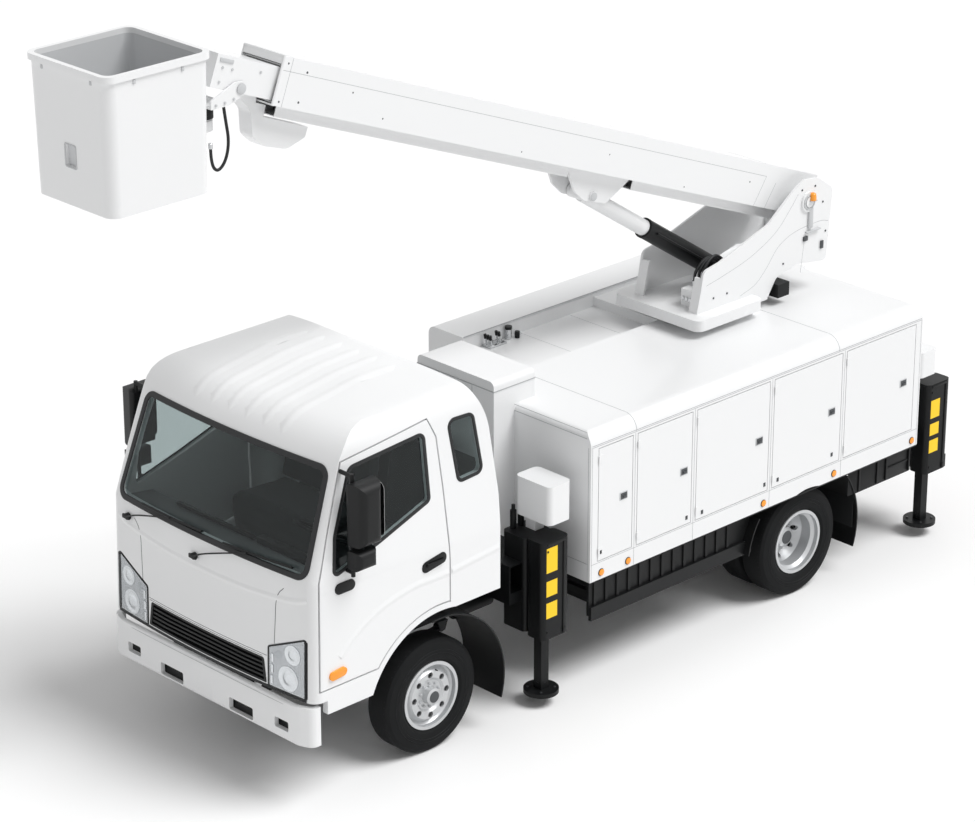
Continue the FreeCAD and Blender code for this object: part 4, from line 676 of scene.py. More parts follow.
def cab_sides():
    for name, side in SIDES:
        door = "cab_door_" + name
        seal = Build()
        side_ring(seal, DOOR_WINDOW, band(26, 5), side)
        seal.done("door_seal_" + name, RUBBER, door)
        grip = Build()
        oval = rounded_path(((970, 1345, 36), (1180, 1380, 36), (1180, 1458, 36), (970, 1423, 36)))
        grip.plate(on_side(oval, side, -1)[0], X * side * 0.006, 2)
        grip.block(skin_side(1080, 1402, side, 16)[0], (Y, Z, X), (150, 26, 12), 5)
        for y in (1012, 1148):
            grip.block(skin_side(y, 1402, side, 9)[0], (Y, Z, X), (18, 24, 22), 4)
        grip.done("door_handle_" + name, PLASTIC, door)
        pressing("door_repeater_" + name, PLASTIC, door, side,
                 ((235, 1445, 36), (400, 1445, 36), (400, 1518, 36), (235, 1518, 36)), 10, 4)
        pressing("side_lamp_" + name, AMBER, door, side,
                 ((175, 872, 26), (315, 884, 30), (315, 944, 30), (175, 932, 26)), 14, 5)
        bends = ((270, 1010), (370, 1100), (520, 1190), (680, 1250), (900, 1290), (1050, 1290), (1205, 1290))
        crease("door_crease_" + name, door, side, smooth_line([Vector(p) for p in bends], 6))
        rise = [(y, 1292 + (y - 1230) * 0.08) for y in range(1230, 1651, 30)]
        crease("cab_crease_" + name, "cab", side, rise)


# ---- wheels ---------------------------------------------------------------------------------------
FRONT_AXLE_Y = 1134.0
REAR_AXLE_Y = 4634.0
TYRE_R = 398.5
TYRE_W = 215.0
GROOVES = (-44, -15, 15, 44)            # from the tyre's middle
BLOCKS = 60                             # shoulder blocks round a tyre


def ring_of(count, start=0.0):
    """Directions across an axle, count of them all round, the first one start of a step on."""
    for k in range(count):
        a = math.tau * (k + start) / count
        yield Vector((0, math.cos(a), math.sin(a)))


def wheel(name, side, x_middles, y, hub, face_x, ring, cap):
    """Grooves, side rings, nuts and hub cap of one wheel or twin pair."""
    out_x = X * side
    marks = Build()
    for xm in x_middles:
        middle = at(side * xm, y, TYRE_R)
        for off in GROOVES:
            low, high = off - 3.5, off + 3.5
            foot, top = TYRE_R - 6, TYRE_R - 0.1
            marks.spin(((low, foot), (low, top), (high, top), (high, foot)), middle, out_x, 96, closed=True)
        for out in ring_of(BLOCKS):
            for off in (-58, 58):
                spot = middle + (out_x * off + out * (TYRE_R - 3.2)) / 1000
                marks.block(spot, (X, X.cross(out), out), (24, 6, 6))
        wall = TYRE_W / 2
        for r in (300, 322):
            marks.spin(((wall - 3.0, r - 1.5), (wall + 0.4, r), (wall - 3.0, r + 1.5)), middle, out_x, 96)
    marks.done("tyre_grooves_" + name, RUBBER, hub, 0)
    middle = at(side * face_x, y, TYRE_R)
    bolts = Build()
    for out in ring_of(10, 0.5):
        nut = ((-3, 11), (2, 11), (2, 9), (12, 9), (14, 7), (14, 4), (19, 4), (20, 0))
        bolts.spin(nut, middle + out * ring / 1000, out_x, 6)
    bolts.done("wheel_nuts_" + name, SILVER, hub, 30)
    valve = Build()
    turn = math.radians(72)
    spot = middle + Vector((0, math.cos(turn), math.sin(turn))) * 0.172
    valve.rod(spot - out_x * 0.004, spot + out_x * 0.026, 4, 8)
    valve.done("valve_" + name, RUBBER, hub)
    hubcap = Build()
    hubcap.spin(cap, middle, out_x, 40)
    hubcap.done("hub_cap_" + name, DARK_STEEL, hub, 40)


def wheels():
    for name, side in SIDES:
        wheel("front_" + name, side, (810.0,), FRONT_AXLE_Y, "wheel_front_" + name, 880.0, 83,
              ((51, 0), (51, 40), (55, 38), (57, 24), (57, 0)))
        wheel("rear_" + name, side, (642.0, 882.0), REAR_AXLE_Y, "wheels_rear_" + name, 776.0, 112,
              ((94, 0), (94, 50), (98, 47), (100, 30), (100, 0)))


# ---- body -----------------------------------------------------------------------------------------
BODY_X = 1050.0
DOOR_LINES = (2860.0, 3440.0, 4220.0, 4980.0)
LATCHES = ((1, 2752, 1365), (1, 3338, 1362), (1, 4097, 1360), (1, 4857, 1358), (1, 5638, 1355),
           (-1, 3900, 1365), (-1, 5300, 1365))
STAYS = ((2540, 1019), (3375, 1006), (3530, 1000), (4166, 1009), (4304, 1005), (4876, 1024))
MARKERS = (2547, 2804, 4161, 4907, 5765)
MARKER_Z = 869.0
LOCKER_START = {1: 2440, -1: 2950}      # station at which each side's lockers start


def flush(build, side, y0, y1, z0, z1):
    """Thin line lying on a locker's side."""
    build.box(side * (BODY_X - 1), side * (BODY_X + 0.8), y0, y1, z0, z1)


def lockers():
    lines = Build()
    for z in (1790, 1801, 945):
        flush(lines, 1, 2450, 5820, z, z + 3)
    for y in DOOR_LINES:
        flush(lines, 1, y - 1.5, y + 1.5, 825, 1785)
    for z in (1812, 945):
        flush(lines, -1, 2960, 5820, z, z + 3)
    for y in (2452, 5815):
        flush(lines, 1, y, y + 3, 825, 1790)
    lines.done("locker_lines", FAINT, "chassis", 0)

    seams = Build()
    bend = [math.radians(a) for a in range(0, 91, 9)]
    normals = [Vector((math.sin(a), 0, math.cos(a))) for a in bend]
    for y in (2870, 4920):
        seams.sweep([at(x, y, 1900.2) for x in (-60, 300, 600, 900, 935)], Z, GAP_LINE)
        seams.sweep([at(940, y, 1790) + normal * 0.1102 for normal in normals], normals, GAP_LINE)
    seams.done("locker_roof_seams", FAINT, "chassis", 0)

    face = Build()
    for x0, x1, z0, z1 in ((-60, 1010, 1850, 1853), (-60, 1010, 1894, 1897), (330, 1030, 950, 953),
                           (1026, 1029, 830, 1790)):
        face.box(x0, x1, 2438.6, 2441, z0, z1)
    face.done("locker_front_lines", FAINT, "chassis", 0)

    latches = Build()
    plates = Build()
    for side, y, z in LATCHES:
        plates.block(at(side * (BODY_X + 1.5), y, z), (Y, Z, X), (74, 58, 5), 4)
        latches.block(at(side * (BODY_X + 4.5), y, z), (Y, Z, X), (60, 44, 4), 3)
        latches.block(at(side * (BODY_X + 9), y + 4, z - 4), (Y, Z, X), (34, 16, 8), 3)
        if side > 0:
            latches.disc(at(BODY_X + 5, y - 18, z + 8), X, 6, 5, 1, 12)
    latches.done("locker_latches", DARK_STEEL, "chassis", 30)
    plates.done("locker_latch_plates", PANEL, "chassis", 30)

    marks = Build()
    for y, z in STAYS:
        marks.block(at(BODY_X + 1, y, z), (Y, Z, X), (22, 30, 4), 2)
        marks.disc(at(BODY_X + 1, y, z + 4), X, 5, 5, 1, 10)
    marks.done("locker_door_stays", DARK_STEEL, "chassis", 30)

    lamps = Build()
    bezels = Build()
    for side in (1, -1):
        for y in MARKERS:
            if y < LOCKER_START[side]:
                continue
            spot = at(side * BODY_X, y, MARKER_Z)
            bezels.disc(spot - X * side * 0.002, X * side, 27, 6, 2, 28)
            lamps.spin(((2, 23), (8, 23), (11, 15), (12, 0)), spot, X * side, 24)
    bezels.done("marker_bezels", RUBBER, "chassis")
    lamps.done("marker_lamps", AMBER, "chassis", 60)

    edge = Build()
    for side, y0 in LOCKER_START.items():
        edge.box(side * (BODY_X - 30), side * (BODY_X - 2), y0, 5830, 808, 822, 2)
    edge.done("locker_low_edge", BLACK, "chassis", 30)

    trim = Build()
    trim.box(-702, -694, 2955, 5825, 1940, 1944, 1)
    trim.done("trough_edge", FAINT, "chassis", 0)


def cover_and_deck():
    lip = Build()
    lip.box(-414, 334, 2246, 2634, 2030, 2036, 1)
    lip.box(-200, -197, 2248.6, 2251, 1300, 2030)
    lip.box(120, 123, 2248.6, 2251, 1300, 2030)
    lip.done("cover_lines", FAINT, "chassis", 0)
    levers = Build()
    knobs = Build()
    for x, y in ((-678, 3160), (-652, 3160), (-626, 3160), (-670, 3260), (-644, 3260)):
        levers.rod(at(x, y, 1830), at(x, y - 14, 1892), 5, 8)
        knobs.rod(at(x, y - 14, 1890), at(x, y - 19, 1922), 11, 12)
    levers.box(-696, -610, 3130, 3290, 1830, 1846, 3)
    levers.rod(at(-668, 3360, 1832), at(-668, 3360, 1905), 22, 16)
    knobs.rod(at(-668, 3360, 1905), at(-668, 3360, 1926), 26, 16)
    knobs.rod(at(-640, 3420, 1832), at(-640, 3420, 1880), 18, 16)
    levers.rod(at(-660, 3420, 1850), at(-660, 3470, 1850), 14, 14)
    levers.done("control_levers", STEEL, "chassis", 30)
    knobs.done("control_knobs", PLASTIC, "chassis", 30)
    seams = Build()
    for y in (3500, 4000):
        seams.box(-690, -80, y, y + 3, 1829, 1830.6)
    seams.done("trough_seams", FAINT, "chassis", 0)


# ---- outriggers -----------------------------------------------------------------------------------
OUTRIGGERS = (("front_left", 1, 2165.0), ("front_right", -1, 2005.0), ("rear_left", 1, 6115.0),
              ("rear_right", -1, 5965.0))
HOUSING_X = 1010.0                      # outer face of a leg's housing
FRONT_PATCHES = ((995, 1173), (823, 935), (664, 777))
REAR_PATCHES = ((948, 1089), (812, 905), (674, 775))
FOOT_BOLT = 90 * math.sqrt(0.5)         # a bolt's distance each way from the foot's middle


def outriggers():
    for name, side, y in OUTRIGGERS:
        body = "beam_" + name
        out = side * HOUSING_X
        patches = Build()
        marks = Build()
        middle = y - 40
        for z0, z1 in FRONT_PATCHES if name.startswith("front") else REAR_PATCHES:
            patches.box(out - side * 1, out + side * 0.6, middle - 50, middle + 50, z0, z1)
        patches.done("warning_patches_" + name, YELLOW, body, 0)
        marks.box(out - side * 2, out + side * 5, y - 84, y + 84, 1188, 1206, 2)
        marks.box(out - side * 2, out + side * 7, y + 62, y + 82, 540, 1186, 3)
        marks.box(out - side * 2, out + side * 10, y + 60, y + 84, 520, 560, 3)
        for z in (560, 1150):
            for dy in (-79.2, 79.2):
                marks.disc(at(out, y + dy, z), X * side, 8, 6, 1.5, 6)
        marks.rod(at(side * 930, y + 124, 560), at(side * 930, y + 124, 1180), 9, 10)
        marks.done("housing_trim_" + name, PLASTIC, body, 30)
        foot = Build()
        x = side * 910
        leg_y = y - 35
        foot.spin(((-6, 0), (-6, 24), (34, 24), (46, 38), (46, 0)), at(x, leg_y, 112), Z, 20)
        for dx in (-FOOT_BOLT, FOOT_BOLT):
            for dy in (-FOOT_BOLT, FOOT_BOLT):
                foot.disc(at(x + dx, leg_y + dy, 110), Z, 9, 8, 1.5, 6)
        foot.done("foot_bolts_" + name, DARK_STEEL, "leg_" + name, 30)
    rams = Build()
    for _, side, y in OUTRIGGERS:
        for dy in (-50, 20):
            rams.rod(at(side * 655, y + dy, 1202), at(side * 655, y + dy, 1330), 22, 16)
            rams.rod(at(side * 655, y + dy, 1330), at(side * 655, y + dy, 1370), 13, 12)
    rams.done("outrigger_valves", BLACK, "chassis", 30)


# ---- turret, boom and bucket ----------------------------------------------------------------------
CHEEK_X = 300.0                         # outer face of the turret's cheeks


def turret():
    pins = Build()
    for side in (1, -1):
        spot = at(side * 314, BOOM_Y, BOOM_Z)
        pins.spin(((-2, 62), (3, 62), (6, 58), (6, 44), (8, 44)), spot, X * side, 40)
        for out in ring_of(6):
            pins.disc(spot + X * side * 0.002 + out * 0.053, X * side, 6, 8, 1.5, 6)
        low = at(side * 113, 4850, 2120)
        pins.spin(((-2, 36), (8, 36), (11, 30), (11, 0)), low, X * side, 28)
    pins.done("turret_pin_plates", PANEL, "turret", 35)

    lines = Build()
    for run in (((4345, 2230), (4520, 2262), (4800, 2330), (5060, 2450), (5220, 2600), (5290, 2680)),
                ((4700, 2062), (4860, 2110), (4980, 2210), (5090, 2330), (5260, 2400), (5520, 2420),
                 (5630, 2400))):
        lines.sweep(smooth_line([at(CHEEK_X, y, z) for y, z in run]), X, FAINT_LINE)
    lines.sweep([at(CHEEK_X, 5342, 2072), at(CHEEK_X, 5372, 2310)], X, FAINT_LINE)
    lines.done("cheek_lines", FAINT, "turret", 0)

    beacon = Build()
    holder = Build()
    holder.block(at(308, 5423, 2500), (Y, X, Z), (44, 16, 210), 4)
    holder.block(at(312, 5450, 2372), (Y, X, Z), (150, 26, 10), 3)
    holder.block(at(322, 5423, 2606), (Y, X, Z), (64, 44, 8), 3)
    holder.done("beacon_holder", PANEL, "turret", 30)
    beacon.spin(((0, 0), (0, 27), (44, 25), (54, 17), (57, 0)), at(323, 5423, 2610), Z, 28)
    beacon.done("beacon", AMBER, "turret", 60)
    small = Build()
    small.block(at(306, 5378, 2324), (Y, X, Z), (46, 14, 34), 4)
    small.block(at(306, 5560, 2236), (Y, X, Z), (30, 12, 60), 4)
    for y, z in ((4420, 2120), (4560, 2120), (5150, 2190), (5560, 2560), (5470, 2700), (5330, 2700),
                 (5600, 2330)):
        for side in (1, -1):
            small.disc(at(side * (CHEEK_X - 1), y, z), X * side, 8, 6, 1.5, 6)
    small.done("turret_fittings", DARK_STEEL, "turret", 30)

    hoses = Build()
    for k, x in enumerate((110, 150, 190)):
        bends = [at(x, 4430, 2150), at(x, 4440, 2260 + 20 * k), at(x - 10, 4560, 2330 + 20 * k),
                 at(x - 20, 4700, 2260), at(x - 10, 4760, 2110), at(x, 4790, 2052)]
        hoses.tube(smooth_line(bends, 10), 11)
    for x in (-60, 0, 60, 120):
        bends = [at(x, 4990, 2052), at(x, 5020, 2110), at(x, 5095, 2130), at(x + 10, 5110, 2080)]
        hoses.tube(smooth_line(bends), 10)
    hoses.done("turret_hoses", RUBBER, "turret", 60)
    valves = Build()
    for x in (110, 144, 178, 212):
        valves.rod(at(x, 4420, 2163), at(x, 4420, 2200), 12, 12)
        valves.disc(at(x, 4320, 2100), -Y, 15, 16, 2, 12)
    valves.done("valve_caps", STEEL, "turret", 30)


BOOM_HALF = 190.0                       # half width of the outer boom
BOOM_TOP = 190.0                        # its top and underside, from the pivot line
BOOM_UNDER = -120.0


def boom():
    lines = Build()
    for side in (1, -1):
        for run in (((395, 105), (450, -118)), ((274, 72), (325, -118)), ((398, 103), (5190, 103)),
                    ((5120, 188), (5120, -118))):
            lines.sweep([on_boom(s, v, side * BOOM_HALF) for s, v in run], X * side, FAINT_LINE)
    for s in (430, 5120):
        lines.sweep([on_boom(s, BOOM_TOP, -188), on_boom(s, BOOM_TOP, 188)], ABOVE, FAINT_LINE)
    lines.done("boom_outer_lines", FAINT, "boom_outer", 0)

    holes = Build()
    for side in (1, -1):
        for s, v, r in ((4980, 120, 8), (4990, -70, 8), (4560, 60, 6), (4250, -60, 6), (5150, 150, 7),
                        (5150, -90, 7), (2930, -84, 5), (1240, -90, 5), (560, 40, 6), (2080, 20, 5)):
            holes.disc(on_boom(s, v, side * (BOOM_HALF - 0.6)), X * side, r, 1.2, 0.3, 14)
    holes.done("boom_holes", LINE, "boom_outer", 0)

    caps = Build()
    for side in (1, -1):
        spot = on_boom(2050, -285, side * 126)
        caps.spin(((-2, 30), (3, 30), (5, 26), (5, 0)), spot, X * side, 28)
    caps.done("ear_pin_caps", PANEL, "boom_outer", 35)

    band_piece = Build()
    section = ((-6, -1), (-6, 2.5), (6, 2.5), (6, -1))
    corners = [on_boom(5188, v, x) for x, v in ((-BOOM_HALF, BOOM_UNDER), (-BOOM_HALF, BOOM_TOP),
                                                (BOOM_HALF, BOOM_TOP), (BOOM_HALF, BOOM_UNDER))]
    for start, end, out in zip(corners, corners[1:] + corners[:1], (-X, ABOVE, X, -ABOVE)):
        band_piece.sweep([start, end], out, section)
    band_piece.done("boom_end_band", WHITE, "boom_outer", 30)

    pads = Build()
    for side in (1, -1):
        pads.block(on_boom(5192, -30, side * 179), (ALONG, ABOVE, X), (10, 120, 5), 1)
    pads.done("boom_wear_pads", PLASTIC, "boom_outer", 30)

    fit = Build()
    for side in (1, -1):
        for s0, v0 in ((5560, 40), (5640, 40), (5640, -50), (5560, -70), (5330, 60)):
            fit.disc(on_boom(s0, v0, side * 161.5), X * side, 9, 7, 1.5, 6)
        fit.block(on_boom(5620, 84, side * 164), (ALONG, ABOVE, X), (110, 26, 8), 3)
    fit.done("boom_tip_fittings", PANEL, "boom_inner", 30)
    ends = Build()
    ends.block(on_boom(5194, 160, 0), (ALONG, ABOVE, X), (8, 46, 362), 1)
    ends.done("boom_outer_end_plate", WHITE, "boom_outer", 30)

    rod_parts = Build()
    low = at(0, 4850, 2120)
    high = on_boom(2050, -285)
    along = (high - low).normalized()
    rod_parts.spin(((984, 60), (984, 74), (1004, 74), (1008, 68), (1008, 58.6)), low, along, 40)
    rod_parts.rod(low + along * 0.3 + X * 0.08, low + along * 0.93 + X * 0.08, 8, 10)
    rod_parts.done("barrel_gland", BLACK, "lift_barrel", 35)


def bucket():
    front = -886.0
    rear = front + 780
    low, top = 4010.0, 4880.0
    liner = Build()
    half = 380 - 20.6
    y0, y1 = front + 20.6, rear - 20.6
    loops = []
    for z, draw in ((low + 32, 13.4), (top - 34, 0.4)):
        a, b, c = half - draw, y0 + draw, y1 - draw
        outline = rounded_path(((-a, b, 54), (a, b, 54), (a, c, 54), (-a, c, 54)))
        loops.append(liner.line([at(p.x, p.y, z) for p in outline])[1])
    bmesh.ops.edgeloop_fill(liner.bm, edges=loops[0])
    bmesh.ops.bridge_loops(liner.bm, edges=loops[0] + loops[1])
    obj = liner.done("bucket_liner", LINER, "bucket", 35)
    obj.data.flip_normals()

    frame_piece = Build()
    window = ((-51, 4249, 10), (51, 4249, 10), (51, 4391, 10), (-51, 4391, 10))
    pairs = refined(rounded_path(window, 5), 80.0, closed=True)
    lean = 14.0 / 870
    points = [at(p.x, front + (top - p.y) * lean, p.y) for p in pairs]
    frame_piece.sweep(points, -Y, band(10, 4), closed=True)
    frame_piece.done("step_window_frame", PANEL, "bucket", 35)

    hooks = Build()
    for x in (-230, 230):
        hooks.block(at(x, front + 2, top - 62), (X, Y, Z), (18, 12, 26), 3)
    for y in (front + 200, front + 560):
        for side in (1, -1):
            hooks.block(at(side * 382, y, top - 62), (Y, X, Z), (18, 10, 26), 3)
    hooks.done("bucket_rim_hooks", PANEL, "bucket", 30)

    stand = Build()
    pin_z = on_boom(5470, -60).z * 1000
    stand.box(-60, 60, rear + 18, rear + 34, pin_z - 330, pin_z - 280, 4)
    for x in (-115, 115):
        for z in (pin_z - 330, pin_z - 145):
            stand.disc(at(x, rear + 24, z), Y, 10, 8, 1.5, 6)
    stand.done("bucket_plate_bolts", DARK_STEEL, "bucket", 30)
    under = Build()
    under.spin(((0, 71), (0, 76), (80, 76), (88, 71)), at(0, 110, pin_z - 184), Z, 32)
    under.done("swivel_sleeve", PLASTIC, "bucket_bracket", 35)

    plates = Build()
    for side in (1, -1):
        spot = on_boom(5470, -60, side * 188)
        plates.spin(((-4, 34), (2, 34), (4, 30), (4, 0)), spot, X * side, 28)
        for dy, dz in ((-60, -52), (-130, -60), (-200, -62)):
            plates.disc(spot + Vector((side * -0.006, dy / 1000, dz / 1000)), X * side, 9, 8, 1.5, 6)
    plates.done("bracket_pin_caps", PANEL, "bucket_bracket", 35)


def hose():
    """Dark hose that hangs in a loop from the boom's tip bracket."""
    pin = on_boom(5470, -60)
    start = pin + Vector((0.13, -0.10, -0.085))
    bends = ((0, 0, 0), (0.005, 0.01, -0.10), (0.01, 0.03, -0.24), (0.01, 0, -0.36), (0, -0.06, -0.42),
             (-0.01, -0.10, -0.36), (-0.01, -0.10, -0.26))
    points = [start + Vector(bend) for bend in bends]
    curve = bpy.data.curves.new("bracket_hose", "CURVE")
    curve.dimensions = "3D"
    curve.bevel_depth = 0.010
    curve.bevel_resolution = 4
    curve.use_fill_caps = True
    spline = curve.splines.new("NURBS")
    spline.points.add(len(points) - 1)
    for slot, point in zip(spline.points, points):
        slot.co = (*point, 1.0)
    spline.order_u = 3
    spline.use_endpoint_u = True
    spline.resolution_u = 12
    obj = bpy.data.objects.new("bracket_hose", curve)
    bpy.context.scene.collection.objects.link(obj)
    curve.materials.append(RUBBER)
    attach(obj, "bucket_bracket")
    bpy.context.view_layer.update()
    line = obj.copy()
    line.data = curve.copy()
    line.data.bevel_depth = 0.0
    mesh = bpy.data.meshes.new_from_object(line)
    bpy.data.objects.remove(line)
    fitting = Build()
    end = (points[-1] - points[-2]).normalized()
    fitting.disc(points[-1] - end * 0.002, end, 14, 34, 2, 12)
    fitting = fitting.done("bracket_hose_fitting", STEEL, "bucket_bracket", 30)


# ---- cab: inside, mirrors and bumper --------------------------------------------------------------
def cab_details():
    # painted shade: dark plastic boxes behind the bumper's openings, so that the openings show dark
    shade_backing = Build()
    for s in (1, -1):
        shade_backing.box(s * 220, s * 470, 38, 44, 455, 556)
        shade_backing.box(s * 660, s * 810, 42, 50, 498, 582)
    shade_backing.done("bumper_backing", PLASTIC, "chassis", 0)
    seam = Build()
    path = [at(x, max(0.0, abs(x) - 300) ** 2 * 0.00003 - 5, 690) for x in range(-860, 861, 40)]
    seam.sweep(path, -Y, FAINT_LINE)
    seam.done("bumper_line", FAINT, "chassis", 0)

    for name, side in SIDES:
        glass = Build()
        outline = rounded_path(((1048, 1815, 40), (1165, 1815, 40), (1165, 2175, 46), (1048, 2175, 40)))
        glass.plate([at(side * p.x, 506, p.y) for p in outline], Y * 0.0015)
        glass.done("mirror_glass_" + name, MIRROR, "cab_door_" + name, 0)
        step = Build()
        step.block(at(side * 930, 330, 800), (X, Y, Z), (90, 240, 16), 4)
        step.done("cab_step_" + name, PLASTIC, "cab", 30)

    liner = Build()
    liner.box(-900, 900, 1596, 1606, 1110, 1735, 4)
    liner.box(-890, -575, 1590, 1600, 1740, 2150, 4)
    liner.box(575, 890, 1590, 1600, 1740, 2150, 4)
    liner.box(-780, 780, 720, 1400, 2396, 2406, 4)
    liner.done("cab_lining", GREY, "cab", 30)
    trim = Build()
    trim.box(-620, 150, 300, 330, 1520, 1546, 6)
    trim.box(170, 700, 300, 372, 1500, 1560, 18)
    for x in (-560, -470, -380, -290):
        trim.box(x, x + 70, 388, 398, 1400, 1450, 4)
    trim.done("dash_trim", PLASTIC, "cab", 30)


PAD_SWELL = 12.0         # how far a pad may swell from its block, in mm
PAD_CELL = 0.014
PAD_FRAMES = 20
PAD_PRESSURE = 4.0


def pad(name, node, x0, x1, outline, nodes):
    """Stuffed pad grown by a cloth simulation from a slightly smaller block."""
    build = Build()
    flank = [at(x0 + PAD_SWELL, p.x, p.y) for p in rounded_path(outline, 5)]
    build.plate(flank, X * (x1 - x0 - 2 * PAD_SWELL) / 1000)
    obj = build.done(name, FABRIC, node, 0)
    remesh = obj.modifiers.new("remesh", "REMESH")
    remesh.mode = "VOXEL"
    remesh.voxel_size = PAD_CELL
    bake(obj)
    start = [v.co.copy() for v in obj.data.vertices]
    cloth = obj.modifiers.new("cloth", "CLOTH")
    cloth.settings.use_pressure = True
    cloth.settings.uniform_pressure_force = PAD_PRESSURE
    cloth.settings.effector_weights.gravity = 0.0
    cloth.point_cache.frame_start = 1
    cloth.point_cache.frame_end = PAD_FRAMES
    for f in range(1, PAD_FRAMES + 1):
        bpy.context.scene.frame_set(f)
    bake(obj)
    for v, rest in zip(obj.data.vertices, start):
        move = v.co - rest
        if move.length > PAD_SWELL / 1000:
            v.co = rest + move.normalized() * PAD_SWELL / 1000
    bpy.context.scene.frame_set(1)
    sub_level = obj.modifiers.new("smooth", "SUBSURF")
    sub_level.levels = 1
    sub_level.render_levels = 1
    bake(obj)
    obj.data.shade_smooth()
    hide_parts(*nodes)
    return obj


def bake(obj):
    """Applies the object's modifiers to its mesh."""
    bpy.context.view_layer.update()
    result = bpy.data.meshes.new_from_object(obj.evaluated_get(bpy.context.evaluated_depsgraph_get()))
    old = obj.data
    obj.modifiers.clear()
    obj.data = result
    bpy.data.meshes.remove(old)


def seats():
    cushion = ((900, 1100, 20), (1375, 1100, 20), (1375, 1362, 40), (868, 1392, 55), (868, 1262, 50))
    back = ((1300, 1375, 25), (1402, 1375, 25), (1492, 1995, 38), (1406, 2002, 38))
    for name, x0, x1 in (("driver", 210, 710), ("bench", -780, 130)):
        pad("seat_cushion_" + name, "cab", x0, x1, cushion, ("seats",))
        pad("seat_back_" + name, "cab", x0 + 20, x1 - 20, back, ("seats",))


# ---- under the body -------------------------------------------------------------------------------
def chassis():
    straps = Build()
    for y in (2850, 3500):
        for z0, z1 in ((488, 492), (788, 792)):
            straps.box(-806, -384, y, y + 40, z0, z1)
        straps.box(-809, -804, y, y + 40, 530, 750, 1)
    straps.done("tank_straps", STEEL, "chassis", 30)
    cap = Build()
    cap.disc(at(-800, 3100, 740), -X, 36, 24, 4, 28)
    cap.done("fuel_cap", PLASTIC, "chassis", 30)
    box_parts = Build()
    box_parts.box(380, 790, 2696, 3204, 778, 790, 4)
    for y in (2780, 3100):
        box_parts.box(784, 790, y, y + 30, 690, 782, 2)
    box_parts.done("battery_lid", PLASTIC, "chassis", 30)
    pipes = Build()
    for x, z in ((402, 700), (402, 668), (-402, 690)):
        wave = [at(x, y, z + 6 * (y // 300 % 2)) for y in range(1700, 5900, 300)]
        pipes.tube(wave, 7, 8)
    pipes.done("frame_pipes", RUBBER, "chassis", 60)
    bolts = Build()
    for side in (1, -1):
        for y in range(1760, 6200, 160):
            for z in (600, 710):
                bolts.disc(at(side * 384.5, y, z), X * side, 8, 6, 1.5, 6)
    bolts.done("frame_bolts", BLACK, "chassis", 30)
    tanks = Build()
    for z in (640, 800):
        tanks.rod(at(430, 1760, z), at(430, 2090, z), 66, 28)
    tanks.rod(at(-470, 1760, 660), at(-470, 2000, 660), 90, 28)
    tanks.done("air_tanks", BLACK, "chassis", 35)
    flaps = Build()
    for side in (1, -1):
        flaps.box(side * 600, side * 985, 5212, 5218, 330, 560)
    flaps.done("mud_flaps", RUBBER, "chassis", 0)
    skirts = Build()
    for side in (1, -1):
        skirts.box(side * 996, side * 1000, 5130, 5815, 604, 819, 1)
        skirts.box(side * 966, side * 1000, 5190, 5815, 600, 604, 1)
        skirts.box(side * 1000, side * 1006, 5560, 5800, 690, 702, 2)
        for y in (5240, 5440, 5540, 5795):
            skirts.box(side * 1000, side * 1010, y, y + 18, 610, 818, 2)
        for y in (5300, 5400, 5660):
            skirts.disc(at(side * 1000, y, 780), X * side, 9, 7, 1.5, 6)
    skirts.done("rear_skirts", BLACK, "chassis", 30)


# ---- light, floor and camera ----------------------------------------------------------------------
SKY = 0.45               # strength at which the sky lights the truck
FLOOR_HALF = 200.0       # metres
SUN = 2.42
SUN_SPREAD = math.radians(32)
SUN_WAY = Vector((-6.6, -4.5, -12))
CAMERA_TURN = math.radians(46.0)
CAMERA_RISE = math.radians(22.6)
CAMERA_SPOT = at(15698.6, -12649.2, 10810.6)
CAMERA_LENS = 129.23     # mm, on a sensor 36 mm wide
CAMERA_REACH = 200.0


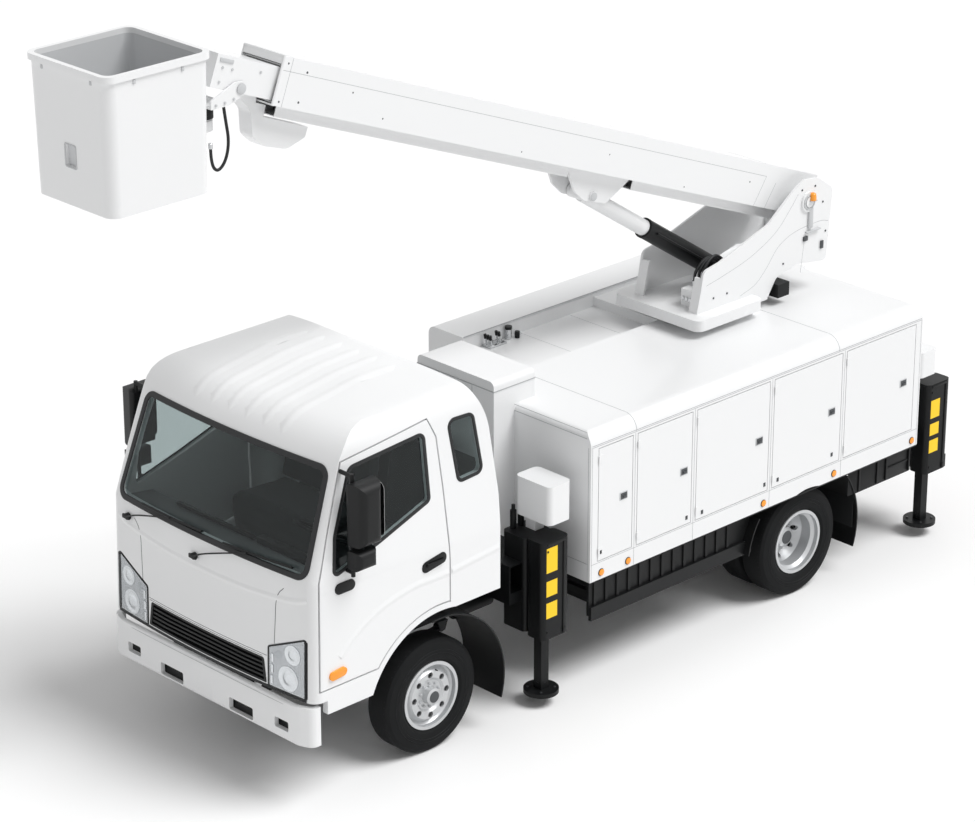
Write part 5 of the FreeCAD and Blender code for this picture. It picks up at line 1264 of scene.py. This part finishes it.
def stage():
    mesh = bpy.data.meshes.new("floor")
    flat = bmesh.new()
    bmesh.ops.create_grid(flat, x_segments=1, y_segments=1, size=FLOOR_HALF)
    flat.to_mesh(mesh)
    flat.free()
    floor = bpy.data.objects.new("floor", mesh)
    bpy.context.scene.collection.objects.link(floor)
    mesh.materials.append(material("floor", (0.95, 0.95, 0.95), 0.95))
    scene = bpy.context.scene
    scene.view_settings.view_transform = "Standard"
    world = bpy.data.worlds.new("world")
    scene.world = world
    world.use_nodes = True
    tree = world.node_tree
    tree.nodes["Background"].inputs["Color"].default_value = (1, 1, 1, 1)
    # the sky lights at a plain level, and is white where it is seen or mirrored
    light = tree.nodes.new("ShaderNodeLightPath")
    seen = tree.nodes.new("ShaderNodeMath")
    seen.operation = "MAXIMUM"
    tree.links.new(light.outputs["Is Camera Ray"], seen.inputs[0])
    tree.links.new(light.outputs["Is Glossy Ray"], seen.inputs[1])
    shown = tree.nodes.new("ShaderNodeMath")
    shown.operation = "MAXIMUM"
    tree.links.new(seen.outputs["Value"], shown.inputs[0])
    tree.links.new(light.outputs["Is Transmission Ray"], shown.inputs[1])
    strength = tree.nodes.new("ShaderNodeMapRange")
    strength.inputs["To Min"].default_value = SKY
    strength.inputs["To Max"].default_value = 1.0
    tree.links.new(shown.outputs["Value"], strength.inputs["Value"])
    tree.links.new(strength.outputs["Result"], tree.nodes["Background"].inputs["Strength"])
    sun = bpy.data.lights.new("sun", "SUN")
    sun.energy = SUN
    sun.angle = SUN_SPREAD
    obj = bpy.data.objects.new("sun", sun)
    obj.rotation_euler = SUN_WAY.to_track_quat("-Z", "Y").to_euler()
    scene.collection.objects.link(obj)


def camera():
    flat = Vector((math.sin(CAMERA_TURN), -math.cos(CAMERA_TURN), 0))
    back = flat * math.cos(CAMERA_RISE) + Z * math.sin(CAMERA_RISE)
    data = bpy.data.cameras.new("camera")
    data.lens = CAMERA_LENS
    data.sensor_width = 36.0
    data.clip_end = CAMERA_REACH
    obj = bpy.data.objects.new("camera", data)
    obj.location = CAMERA_SPOT
    obj.rotation_euler = (-back).to_track_quat("-Z", "Y").to_euler()
    bpy.context.scene.collection.objects.link(obj)
    bpy.context.scene.camera = obj


cab_front()
headlamps()
roof_ribs()
cab_sides()
wheels()
lockers()
cover_and_deck()
outriggers()
turret()
boom()
bucket()
hose()
cab_details()
seats()
chassis()
stage()
camera()
